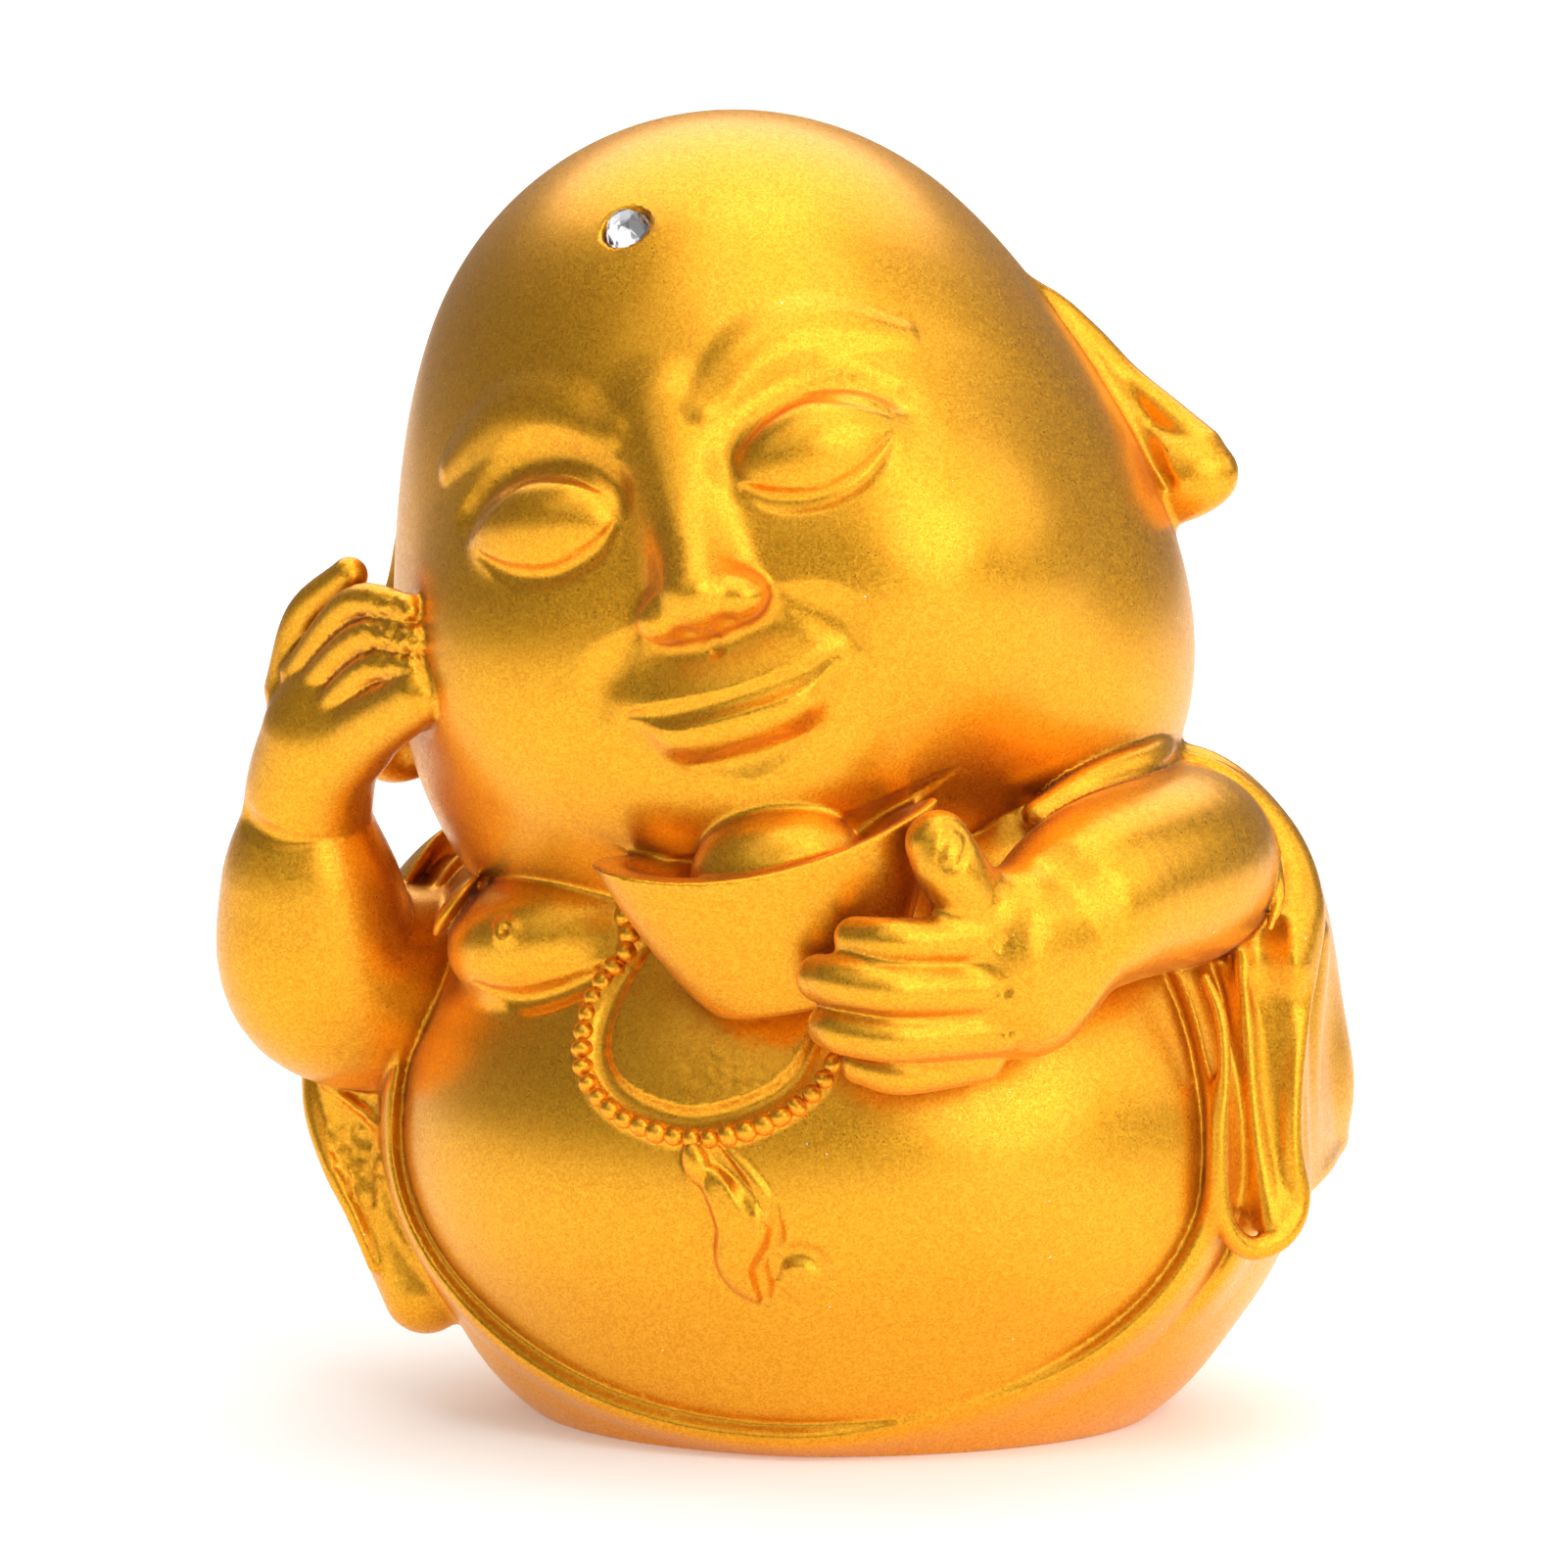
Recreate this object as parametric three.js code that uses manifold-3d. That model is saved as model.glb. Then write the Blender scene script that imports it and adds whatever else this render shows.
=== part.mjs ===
// A seated, pot-bellied figure cast in one piece of resin, with a glass crystal set in its forehead.
// Millimetres, +Z up. The figure looks along -Y, its left hand is on the +X side, and the origin is
// the middle of its flat underside. The modelling lengths are shares of its height, in hundredths.

import * as THREE from 'three';
import { MarchingCubes } from 'three/addons/objects/MarchingCubes.js';
import { ConvexGeometry } from 'three/addons/geometries/ConvexGeometry.js';
import { mergeVertices } from 'three/addons/utils/BufferGeometryUtils.js';
import Module from 'manifold-3d';

// Driving dimensions, in millimetres
const figureHeight = 90;
const crystalDiameter = 3.1;
const crystalHeight = 1.5;
const crystalGirdle = 0.3; // height of the upright band under the facets
const crystalClearance = 0.3; // between the crystal and its seat, filled with glue
const crystalStandProud = 0.75; // of the table above the skin
const crystalTable = 1.55; // diameter of the table
const crystalWaist = 2.35; // diameter between the two rows of facets
const crystalWaistHeight = 1.1;
const crystalFacets = 8; // round the table; the girdle has twice as many
const crystalRise = 47; // degrees that it sits above the way the face looks

// Mesh of the figure
const figureTriangles = 9300;
const cell = 0.8; // size of a sampling cell, in hundredths of the height
const block = 4; // cells in a block that can be skipped
const farShare = 1.05; // of a block's side: farther from the surface than this, it is skipped
const mostTriangles = 300000; // before simplifying
const evenness = 1e-3; // pull towards even triangles
const turnLimit = 0.25; // least cosine between a face before and after a join
const settleLimit = 0.3; // how far a corner may move back onto the true surface
const floorDepth = 2; // the sculpted form goes on this far below the floor, then it is cut flat
const outside = 60; // from here a place seen from the front or the back is looked for
const seatSides = 32;

const hundredth = figureHeight / 100;
const rad = THREE.MathUtils.degToRad;

// Shapes: each one gives its distance from a point, and a ball that holds it

const blendMin = (a, b, k) => {
  const h = Math.max(k - Math.abs(a - b), 0) / k;
  return Math.min(a, b) - (h * h * k) / 4;
};

const blendMax = (a, b, k) => -blendMin(-a, -b, k);
const span = (x, y, z) => Math.sqrt(x * x + y * y + z * z);
const rise = (t) => THREE.MathUtils.smoothstep(t, 0, 1);
const bump = (t) => (Math.abs(t) < 1 ? (1 - t * t) ** 2 : 0);

function turned([x, y, z]) {
  return new THREE.Matrix4().makeRotationFromEuler(new THREE.Euler(rad(x), rad(y), rad(z), 'ZYX'));
}

// An ellipsoid, turned by degrees about X, then Y, then Z
function blob([cx, cy, cz], [rx, ry, rz], turn = [0, 0, 0]) {
  const m = turned(turn).elements;
  return {
    centre: [cx, cy, cz],
    reach: Math.max(rx, ry, rz),
    distance(x, y, z) {
      const dx = x - cx;
      const dy = y - cy;
      const dz = z - cz;
      const u = (m[0] * dx + m[1] * dy + m[2] * dz) / rx;
      const v = (m[4] * dx + m[5] * dy + m[6] * dz) / ry;
      const w = (m[8] * dx + m[9] * dy + m[10] * dz) / rz;
      const k = Math.sqrt(u * u + v * v + w * w);
      const g = Math.sqrt((u * u) / (rx * rx) + (v * v) / (ry * ry) + (w * w) / (rz * rz));
      return g > 1e-9 ? (k * (k - 1)) / g : -Math.min(rx, ry, rz);
    },
  };
}

// A smooth line through points, with a size at each point. It answers with the nearest place on it.
function line(points, sizes = 1) {
  const stops = points.map((p) => new THREE.Vector3(...p));
  const curve = new THREE.CatmullRomCurve3(stops, false, 'catmullrom', 0.5);
  const count = (points.length - 1) * (points.length > 8 ? 2 : 6);
  const stopSizes = Array.isArray(sizes) ? sizes : points.map(() => sizes);
  const swell = new THREE.SplineCurve(stopSizes.map((size) => new THREE.Vector2(size, 0)));
  const sizeAt = (i) => swell.getPoint(i / count).x;
  const places = curve.getPoints(count);
  const segments = Float64Array.from(places.slice(1).flatMap((b, i) => {
    const s = b.clone().sub(places[i]);
    return [...places[i].toArray(), ...s.toArray(), Math.max(s.lengthSq(), 1e-9), sizeAt(i), sizeAt(i + 1)];
  }));
  const box = new THREE.Box3().setFromPoints(places);
  const middle = box.getCenter(new THREE.Vector3());
  const path = {
    curve,
    centre: middle.toArray(),
    reach: box.getSize(new THREE.Vector3()).length() / 2 + Math.max(...stopSizes),
    sizeThere: 1, // at the nearest place of the last call
    // The least distance from it, less the size there or as a share of the size there
    nearest(x, y, z, asShare) {
      let found = Infinity;
      for (let i = 0; i < segments.length; i += 9) {
        const dx = x - segments[i];
        const dy = y - segments[i + 1];
        const dz = z - segments[i + 2];
        const sx = segments[i + 3];
        const sy = segments[i + 4];
        const sz = segments[i + 5];
        const t = Math.min(Math.max((dx * sx + dy * sy + dz * sz) / segments[i + 6], 0), 1);
        const distance = span(dx - t * sx, dy - t * sy, dz - t * sz);
        const size = segments[i + 7] + t * (segments[i + 8] - segments[i + 7]);
        const gap = asShare ? distance / size : distance - size;
        if (gap < found) {
          found = gap;
          path.sizeThere = size;
        }
      }
      return found;
    },
  };
  return path;
}

// A round bar along a smooth line, with a radius at each of its points
function tube(points, radii) {
  const path = line(points, radii);
  return { ...path, distance: (x, y, z) => path.nearest(x, y, z, false) };
}

// What a sculptor does to a form, in order: add to it, cut it, and draw grooves and ridges on it
class Sculpture {
  steps = [];
  centre = [0, 0, 0];
  reach = 0;

  add(shape, blend = 0.4) {
    if (!this.steps.length) this.centre = shape.centre;
    const [cx, cy, cz] = shape.centre;
    const [ox, oy, oz] = this.centre;
    this.reach = Math.max(this.reach, Math.hypot(cx - ox, cy - oy, cz - oz) + shape.reach + blend);
    this.steps.push((d, x, y, z) => {
      const near = span(x - cx, y - cy, z - cz) - shape.reach;
      return near > d + blend ? d : blendMin(d, shape.distance(x, y, z), blend);
    });
    return this;
  }

  cut(shape, blend = 0.4) {
    const [cx, cy, cz] = shape.centre;
    this.steps.push((d, x, y, z) => {
      const near = span(x - cx, y - cy, z - cz) - shape.reach;
      return near > blend - d ? d : blendMax(d, -shape.distance(x, y, z), blend);
    });
    return this;
  }

  // A groove along a line; the line's sizes are shares of its width and depth
  groove(path, width, depth) {
    const [cx, cy, cz] = path.centre;
    this.steps.push((d, x, y, z) => {
      if (Math.abs(d) > 2 * width || span(x - cx, y - cy, z - cz) > path.reach + width) return d;
      const gap = path.nearest(x, y, z, true) / width;
      return gap < 1 ? d + depth * path.sizeThere * bump(gap) : d;
    });
    return this;
  }

  ridge(path, width, height) {
    return this.groove(path, width, -height);
  }

  // A flat raised strip along a line; the line's sizes are half its width
  layer(path, height, edge = 0.5) {
    const [cx, cy, cz] = path.centre;
    this.steps.push((d, x, y, z) => {
      if (Math.abs(d) > 3 || span(x - cx, y - cy, z - cz) > path.reach + edge) return d;
      return d - height * rise(0.5 - path.nearest(x, y, z, false) / edge);
    });
    return this;
  }

  distance(x, y, z) {
    let d = 1000;
    for (const step of this.steps) d = step(d, x, y, z);
    return d;
  }

  // Where a straight way from a point first meets the form, raised by lift
  meet([x, y, z], [dx, dy, dz], lift = 0) {
    let t = 0;
    for (let i = 0; i < 80; i++) {
      const gap = this.distance(x + t * dx, y + t * dy, z + t * dz) - lift;
      if (gap < 0.01) break;
      t += gap * 0.8;
    }
    return [x + t * dx, y + t * dy, z + t * dz];
  }
}

// Places given by their x and z, carried from the front or the back onto a form as it is by then
const fromFront = (form, points, lift) => (
  points.map(([x, z]) => form.meet([x, -outside, z], [0, 1, 0], lift))
);
const fromBack = (form, points) => points.map(([x, z]) => form.meet([x, outside, z], [0, -1, 0]));

// A line of no length, for a round dimple or knob
const spot = (at) => line([at, at]);

// A form made in its own frame, turned and then moved to its place
function placed(form, [px, py, pz], turn) {
  const m = turned(turn).elements;
  const at = new THREE.Vector3(...form.centre).applyMatrix4(turned(turn)).toArray();
  return {
    centre: [at[0] + px, at[1] + py, at[2] + pz],
    reach: form.reach,
    distance(x, y, z) {
      const dx = x - px;
      const dy = y - py;
      const dz = z - pz;
      return form.distance(
        m[0] * dx + m[1] * dy + m[2] * dz,
        m[4] * dx + m[5] * dy + m[6] * dz,
        m[8] * dx + m[9] * dy + m[10] * dz,
      );
    },
  };
}

// Head, in its own frame: origin at its middle, the face looks along -Y

const headPlace = [-7.2, -4, 70.7];
const headTurn = [-6, -17, -1]; // chin up, leaning to its right, turned to its right
const sides = [-1, 1];

function makeHead() {
  const head = new Sculpture();
  head.add(blob([0, 0.5, 2], [24.9, 26, 26.3]));
  head.add(blob([0, -1, -13.5], [29.2, 24, 20.5]), 14);
  head.add(blob([0, -17.5, -21.5], [8.5, 6.5, 6]), 7);
  for (const side of sides) {
    head.add(blob([side * 12.5, -15.5, -9.5], [9, 8.5, 9]), 8);
    head.add(blob([side * 16.6, 2, -21], [9.9, 13, 11]), 8);
  }

  const onFace = (x, z) => fromFront(head, [[x, z]])[0];
  const faceLine = (points, sizes) => line(fromFront(head, points), sizes);
  const faceBlob = ([x, z], sunk, radii, turn) => blob([x, onFace(x, z)[1] + sunk, z], radii, turn);
  const bothSides = (sculpt) => {
    for (const side of sides) sculpt(side, (points) => points.map(([x, z]) => [side * x, z]));
  };

  const [bridge, middle, tip] = [4.5, -2.5, -8.6].map((z) => onFace(0, z)[1]);
  bothSides((side, mirrored) => {
    head.groove(faceLine(mirrored([[5, 1], [10.5, 3.6], [16.5, 2.2]]), [0.7, 1, 0.5]), 4, 1.2);
  });
  head.add(tube([[0, bridge + 2.4, 5.4], [0, middle + 0.4, -2.5], [0, tip - 1.8, -8]], [2, 2, 2.9]), 3.5);
  bothSides((side, mirrored) => {
    head.add(faceBlob([side * 3.2, -9.2], -0.2, [1.9, 2.1, 1.7]), 1.4);
    head.add(faceBlob([side * 10.5, 0], 1.3, [6, 3.2, 3.7], [0, -side * 4, side * 20]), 1.8);
    const brow = mirrored([[3.6, 5.2], [7.4, 7.9], [12, 8.9], [18, 6.4]]);
    head.ridge(faceLine(brow, [0.6, 1, 1, 0.5]), 3.2, 0.6);
    const lidEdge = mirrored([[4.9, -1.5], [7.2, -3.1], [10.4, -3.8], [13.6, -3], [16.2, -0.8]]);
    head.groove(faceLine(lidEdge, [0.4, 1, 1, 1, 0.4]), 1.1, 0.85);
    const lidFold = mirrored([[5.4, 1.4], [7.6, 3], [10.6, 3.7], [13.6, 2.9], [16.4, 0.9]]);
    head.groove(faceLine(lidFold, [0.4, 0.9, 1, 0.9, 0.4]), 1.2, 0.4);
    head.groove(faceLine(mirrored([[5.6, -9.6], [8.8, -12.2], [10.6, -15.6]]), [0.3, 1, 0.1]), 2.4, 0.5);
    head.cut(faceBlob([side * 1.6, -10.9], -0.5, [0.8, 1.1, 0.6]), 0.5);
  });
  head.groove(faceLine([[0, -11.8], [0, -13.6]], [0.7, 0.3]), 1.2, 0.4);
  head.add(faceBlob([0, -15], 0.9, [7.4, 2.2, 2.1]), 2.4);
  head.add(faceBlob([0, -17.5], 0.8, [5.8, 2.4, 2.2]), 2.4);
  const mouth = [[-8.6, -14.9], [-4.8, -16], [0, -16.3], [4.8, -16], [8.6, -14.9]];
  head.groove(faceLine(mouth, [0.15, 1, 1, 1, 0.15]), 1.1, 0.9);
  head.groove(faceLine([[-5, -19.9], [0, -20.6], [5, -19.9]], [0.1, 1, 0.1]), 2, 0.5);
  const chinFold = [[-14, -25], [-7.6, -27], [0, -27.6], [7.6, -27], [14, -25]];
  head.groove(faceLine(chinFold, [0.05, 0.8, 1, 0.8, 0.05]), 2, 0.8);

  for (const side of sides) head.add(makeEar(side), 1);
  for (const height of [-9, -15]) {
    const roll = [[-13, height + 1.5], [0, height], [13, height + 1.5]];
    head.groove(line(fromBack(head, roll), [0.3, 1, 0.3]), 1.8, 0.8);
  }
  return head;
}

// One long ear: a low rolled rim that runs down into a heavy lobe turned outwards
function makeEar(side) {
  const ear = new Sculpture();
  const out = (points) => points.map(([x, y, z]) => [side * x, y, z]);
  const [fin, lobe] = out([[26.8, 3.6, -2], [31.6, 3, side > 0 ? -8.4 : -11.4]]);
  ear.add(blob(fin, [2.9, 2.1, 9.4], [0, -side * 18, side * 10]));
  ear.add(blob(lobe, [4.2, 2.8, 3.2], [0, side * 12, 0]), 3);
  ear.add(tube(out([
    [23.4, 1.8, 9], [25.5, 3, 7], [27.4, 4, 3.6], [29.2, 4.2, 0], [31.4, 3.9, -3.4], [33.4, 3.3, -6.6],
  ]), [0.5, 0.8, 1, 1.1, 1.3, 1.6]), 0.8);
  const shell = out([[25.4, 1.6, 5], [26.8, 2.2, 1], [28.6, 1.6, -4], [30.6, 0.8, -8.6]]);
  ear.groove(line(shell, [0.7, 1, 1, 0.5]), 2, 1);
  return ear;
}

// Trunk, bare in front

function makeTrunk() {
  const trunk = new Sculpture();
  trunk.add(blob([0, -2, 21.5], [34.6, 29.6, 26.5]));
  trunk.add(blob([-0.7, -2, 7], [25.2, 22.5, 11]), 6);
  trunk.add(blob([0, 4, 33], [27, 19, 16]), 8);
  trunk.add(blob([20.6, 0, 36], [13, 14, 11.6]), 5);
  trunk.add(blob([-24, 4, 30.6], [12.5, 13, 11]), 5);
  trunk.add(blob([-3, -9, 41], [19, 13, 9]), 6);
  trunk.add(blob([-19.4, -15.6, 38], [9, 7.6, 5.6], [0, -14, 0]), 2);
  trunk.add(blob([14, -14.5, 41.6], [10.5, 8, 7]), 2);
  const underBreast = fromFront(trunk, [[-25.4, 34.6], [-21.4, 33.6], [-16.4, 35.3], [-12.4, 38]]);
  trunk.groove(line(underBreast, [0.2, 1, 1, 0.5]), 1.2, 0.9);
  const nipple = spot(fromFront(trunk, [[-22.6, 39]])[0]);
  trunk.ridge(nipple, 1.5, 0.5);
  trunk.groove(nipple, 0.7, 0.6);
  // The same place is asked for three times over, by the skin and by the two layers of cloth
  let [lastX, lastY, lastZ, last] = [0, 0, 0, 0];
  return {
    centre: trunk.centre,
    reach: trunk.reach,
    meet: trunk.meet.bind(trunk),
    distance(x, y, z) {
      if (x !== lastX || y !== lastY || z !== lastZ) {
        last = trunk.distance(x, y, z);
        [lastX, lastY, lastZ] = [x, y, z];
      }
      return last;
    },
  };
}

// Robe: a layer on the trunk, open in front. Its edge is an egg seen from the front.

const openingMiddle = [-1.6, 22]; // x and z of the opening's widest place
const openingHalf = 31;
const openingBelow = 19.4;
const openingAbove = 31;
const openingDepth = -4; // y behind which the robe goes all the way round
const robeThickness = 0.55;
const hemRoll = 0.8; // of the edge above the robe
const hemWidth = 1.7; // half of it
const secondRoll = 0.85; // of a thinner fold beside it, that dies away lower down
const secondFrom = [7, 15]; // z between which it grows
const softMiddle = [13, 0]; // x and z of the place where the hem sinks into the robe
const softReach = 14;
const cloakThickness = 2.2; // of the second layer, over the robe
const cloakInset = 5; // of its edge from the robe's
const cloakHem = 14.6; // z of its lower edge at the right side; it rises to the back and the left
const cloakRoll = 0.35;

// How far outside the opening a place is
function pastOpening(x, y, z) {
  const u = (x - openingMiddle[0]) / openingHalf;
  const tall = z < openingMiddle[1] ? openingBelow : openingAbove;
  const v = (z - openingMiddle[1]) / tall;
  const k = Math.sqrt(u * u + v * v);
  const g = Math.sqrt((u / openingHalf) ** 2 + (v / tall) ** 2);
  return blendMax(g > 1e-9 ? (k * (k - 1)) / g : -tall, y - openingDepth, 2);
}

// Thickness of the cloth: a slim rolled hem against the belly, a thinner fold beside it, then plain
function clothThickness(x, y, z) {
  const past = pastOpening(x, y, z);
  const soft = y < 0 ? bump(span(x - softMiddle[0], 0, z - softMiddle[1]) / softReach) : 0;
  const under = robeThickness * rise(past / 1.1 + 0.4) * (1 - 0.6 * soft);
  const roll = hemRoll * bump((past - 1.3) / hemWidth) * (1 - 0.8 * soft);
  const [low, high] = secondFrom;
  const second = secondRoll * bump((past - 3.7) / 1.2) * rise((z - low) / (high - low));
  const hem = cloakHem + 0.12 * y + 0.13 * Math.max(x, 0);
  const edge = blendMin(past - cloakInset, z - hem, 1.5);
  const over = cloakThickness * rise(edge / 1.6 + 0.5) + cloakRoll * bump((edge - 1) / 1.4);
  return under + roll + second + over;
}

function makeBody() {
  const trunk = makeTrunk();
  const body = new Sculpture();
  body.add({
    centre: trunk.centre,
    reach: trunk.reach + robeThickness + cloakThickness + 1,
    distance: (x, y, z) => {
      const d = trunk.distance(x, y, z);
      return d > 6 ? d - 3 : d - clothThickness(x, y, z);
    },
  });
  body.add(blob([-6, -2, 50], [16, 14, 8]), 3);
  addCollar(body);
  addBackFolds(body);
  addNavel(body);
  return body;
}

function addCollar(body) {
  body.add(tube([[31, 3, 38], [33.4, 2, 31], [34.6, 1.5, 25], [33.6, 1.5, 20.5]], [3, 3.4, 3.6, 3]), 2.5);
  body.add(tube([[15, -17.5, 46.6], [19.4, -15.6, 48.2], [23.6, -9, 49.6]], 2.8), 1);
  body.add(tube([
    [17, -21, 48.4], [21.2, -17.6, 50.6], [24.4, -11.5, 51.6], [22, 2, 52], [15, 13, 52.5], [0, 18, 52],
    [-16, 15, 46.5], [-26, 8, 42.5], [-31, 0, 39.6], [-33, -4, 36],
  ], [1.2, 1.6, 1.6, 1.6, 1.8, 1.8, 1.8, 1.6, 1.4, 1]), 0.8);
}

// Broad shallow folds that spread down the back from the collar
function addBackFolds(body) {
  for (const [top, middle, foot] of [[-14, -24, -27], [-5, -9, -12], [4, 6, 8], [13, 21, 25]]) {
    const path = fromBack(body, [[top, 44], [middle, 30], [foot, 16]]);
    body.groove(line(path, [0.4, 1, 0.8]), 2.4, 0.9);
  }
}

function addNavel(body) {
  const [x, z] = [0.9, 15];
  body.ridge(spot(fromFront(body, [[x, z]])[0]), 2.6, 0.35);
  const arc = [2.7, 2.3, 1.8, 1.4, 0.9, 0.5, 0].map((a) => [x + 1.9 * Math.cos(a), z + 1.9 * Math.sin(a)]);
  body.groove(line(fromFront(body, arc), [0.6, 0.8, 1, 1, 1, 0.8, 0.6]), 0.95, 0.5);
}

// Left sleeve: a loop of cloth round the upper arm, and its mouth hanging as a pocket with a fold in it

function makeLeftSleeve() {
  const sleeve = new Sculpture();
  const band = [[20, -5, 51.4], [27.5, -5, 49.6], [32.6, -7, 45.2], [34.8, -9.4, 40.4], [33.8, -12, 36.4]];
  sleeve.add(tube(band, [1, 1.8, 2.2, 2.4, 3]));
  const front = [[33.4, -10, 39], [33.2, -12, 32], [33.1, -12.8, 25], [33.4, -13.4, 19.6]];
  sleeve.add(tube(front, [3, 3.2, 3.4, 3.4]), 1.5);
  sleeve.add(tube([[33.6, -5, 37], [33, -7.4, 29], [32.6, -9, 20.5]], [3.6, 3.7, 3.5]), 1.5);
  const hollow = fromFront(sleeve, [[33.2, 39], [33.3, 34], [33.2, 27], [33.4, 21], [33.6, 18.4]]);
  sleeve.groove(line(hollow, [0.8, 1, 1, 1, 0.7]), 2.8, 1.5);
  const fold = fromFront(sleeve, [[31.4, 37.4], [32, 31.5], [32.6, 25.7], [33.4, 20.4], [34, 17.6]], 0.3);
  sleeve.add(tube(fold, [0.4, 0.55, 0.6, 0.9, 1.3]), 1.3);
  const rim = [
    [22, -7.4, 51.6], [28.8, -7, 49.9], [33.8, -8, 45.4], [36, -10, 39.7], [36.1, -12, 35.4],
    [35.6, -14.2, 28.8], [35.5, -15, 23.1], [36, -14.8, 19], [35, -16, 16.6], [32.8, -17.3, 15.7],
    [31.2, -18.2, 17.1], [30.5, -18.6, 20.1], [30.5, -18.4, 24.6], [30.7, -18, 29.2], [30.3, -17.6, 33.2],
    [29.1, -17.2, 36],
  ];
  const rimRadii = [0.7, 0.9, 0.9, 0.8, 0.7, 0.7, 0.75, 0.9, 1, 1, 0.9, 0.8, 0.65, 0.6, 0.6, 0.5];
  sleeve.add(tube(rim, rimRadii), 0.6);
  const innerRim = [
    [22, -9, 50.6], [28.8, -9, 49.2], [32.6, -11, 45.6], [34, -13, 41.8], [33.6, -14.4, 39.4],
  ];
  sleeve.add(tube(innerRim, [0.6, 0.8, 0.8, 0.7, 0.4]), 0.6);
  return sleeve;
}

// Right sleeve: a lobe of cloth below the elbow, with a hollow in front inside a thick rim

function makeRightSleeve() {
  const sleeve = new Sculpture();
  const drop = [[-35.6, -2.5, 26], [-35.3, -3, 19.6], [-33.6, -4, 14], [-31.8, -6, 8.6]];
  sleeve.add(tube(drop, [5.8, 5.2, 4.4, 3.4]), 1);
  const hollow = fromFront(sleeve, [[-37, 24], [-36.8, 20], [-35.6, 15.6]]);
  sleeve.groove(line(hollow, [1.2, 0.9, 0.2]), 2.6, 1.7);
  const rim = [
    [-41, -4, 25.5], [-40.4, -5.6, 21.8], [-38.8, -7.2, 18], [-37, -7.8, 14.6], [-35.4, -8, 10.8],
  ];
  sleeve.add(tube(rim, [0.9, 0.9, 0.8, 0.7, 0.6]), 1);
  const tuck = fromFront(sleeve, [[-39.6, 24.6], [-36.6, 22.6], [-33.4, 20.2]], 0.1);
  sleeve.add(tube(tuck, [0.4, 0.6, 0.5]), 0.5);
  return sleeve;
}

// A finger along its joints
function makeFinger({ joints, radius }) {
  return tube(joints, joints.map((_, i) => radius * (i < joints.length - 1 ? 1 : 0.94)));
}

// Left arm: it comes forward round the belly and carries the ingot in its hand

function makeLeftArm() {
  const arm = new Sculpture();
  const joints = [[21, -2, 42], [26.6, -12.6, 43.6], [22.3, -24, 43.1], [19, -29, 41]];
  arm.add(tube(joints, [8, 7.5, 7, 5.9]), 1);
  const hand = new Sculpture();
  hand.add(blob([17.2, -31.2, 38.6], [6.2, 4.8, 6.9], [0, -8, 22]), 1);
  const fingers = [
    { joints: [[15.6, -34, 41], [9.4, -37.4, 41.3], [5.8, -36, 41.2]], radius: 1.8 },
    { joints: [[15.6, -34.4, 37.4], [9.4, -38, 37.8], [5.4, -37.6, 38.2], [3.2, -36, 38.2]], radius: 2 },
    { joints: [[15.6, -34, 34.2], [9.4, -37.4, 34.1], [5.4, -36.8, 34.4], [3.8, -35.4, 34.6]], radius: 1.85 },
    { joints: [[14.6, -32.4, 31.8], [9.2, -35.2, 31.2], [6, -34.2, 31.6]], radius: 1.7 },
  ];
  for (const finger of fingers) hand.add(makeFinger(finger), 0.9);
  arm.add(hand, 2.2);
  const thumb = [[16.4, -30.6, 41.4], [13.9, -33.8, 44.2], [12.6, -35, 46.4], [11.7, -35, 48.2]];
  arm.add(tube(thumb, [2.6, 2.7, 2.7, 2.5]), 1.6);
  for (const knuckle of fromFront(arm, [[16.7, 41], [16.8, 37.6], [16.95, 34.5]])) {
    arm.groove(spot(knuckle), 0.95, 0.75);
  }
  const wrist = fromFront(arm, [[20.2, 46.4], [22.2, 43.6], [22.4, 40], [21, 35.6]]);
  arm.groove(line(wrist, [0.6, 1, 1, 0.4]), 4.2, 0.7);
  return arm;
}

// Right arm: raised, with the hand at the cheek

function makeRightArm() {
  const arm = new Sculpture();
  arm.add(tube([
    [-24, 2, 33], [-32, -3, 31.6], [-38.4, -8.4, 33.2], [-39.6, -10.6, 39.6], [-39.6, -12, 44.8],
    [-39, -13.4, 48.6], [-38, -14.8, 52],
  ], [6.8, 7.8, 8.1, 7, 5.2, 4.9, 4.6]), 1);
  const crease = fromFront(arm, [[-43.6, 45.8], [-40, 44.6], [-36, 44.8]]);
  arm.groove(line(crease, [1, 0.6, 0.1]), 1.6, 0.5);
  const hand = new Sculpture();
  hand.add(blob([-36.6, -16.2, 53.6], [5, 3.4, 4.6], [0, 35, -20]));
  hand.add(tube([[-38, -14.8, 49.8], [-33.6, -18.6, 53.6], [-28.9, -22.4, 56.6]], [3.6, 3, 2.4]), 1.2);
  const fingers = [
    { joints: [[-41, -13.6, 55.6], [-39.2, -14.5, 61.2], [-35.4, -16.4, 64.6]], radius: 1.6 },
    { joints: [[-39.6, -15.4, 57], [-34.6, -19, 62.8], [-29.8, -21.8, 62.8]], radius: 1.4 },
    { joints: [[-38.8, -16.4, 55.6], [-33.8, -20, 60.4], [-29.2, -22.6, 60.6]], radius: 1.4 },
    { joints: [[-37.8, -17.4, 53.8], [-33, -20.8, 58.2], [-29.4, -22.8, 58.6]], radius: 1.35 },
  ];
  for (const finger of fingers) hand.add(makeFinger(finger), 0.35);
  arm.add(hand, 1.4);
  return arm;
}

// Boat-shaped ingot, in its own frame: origin midway between its tips

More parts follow.
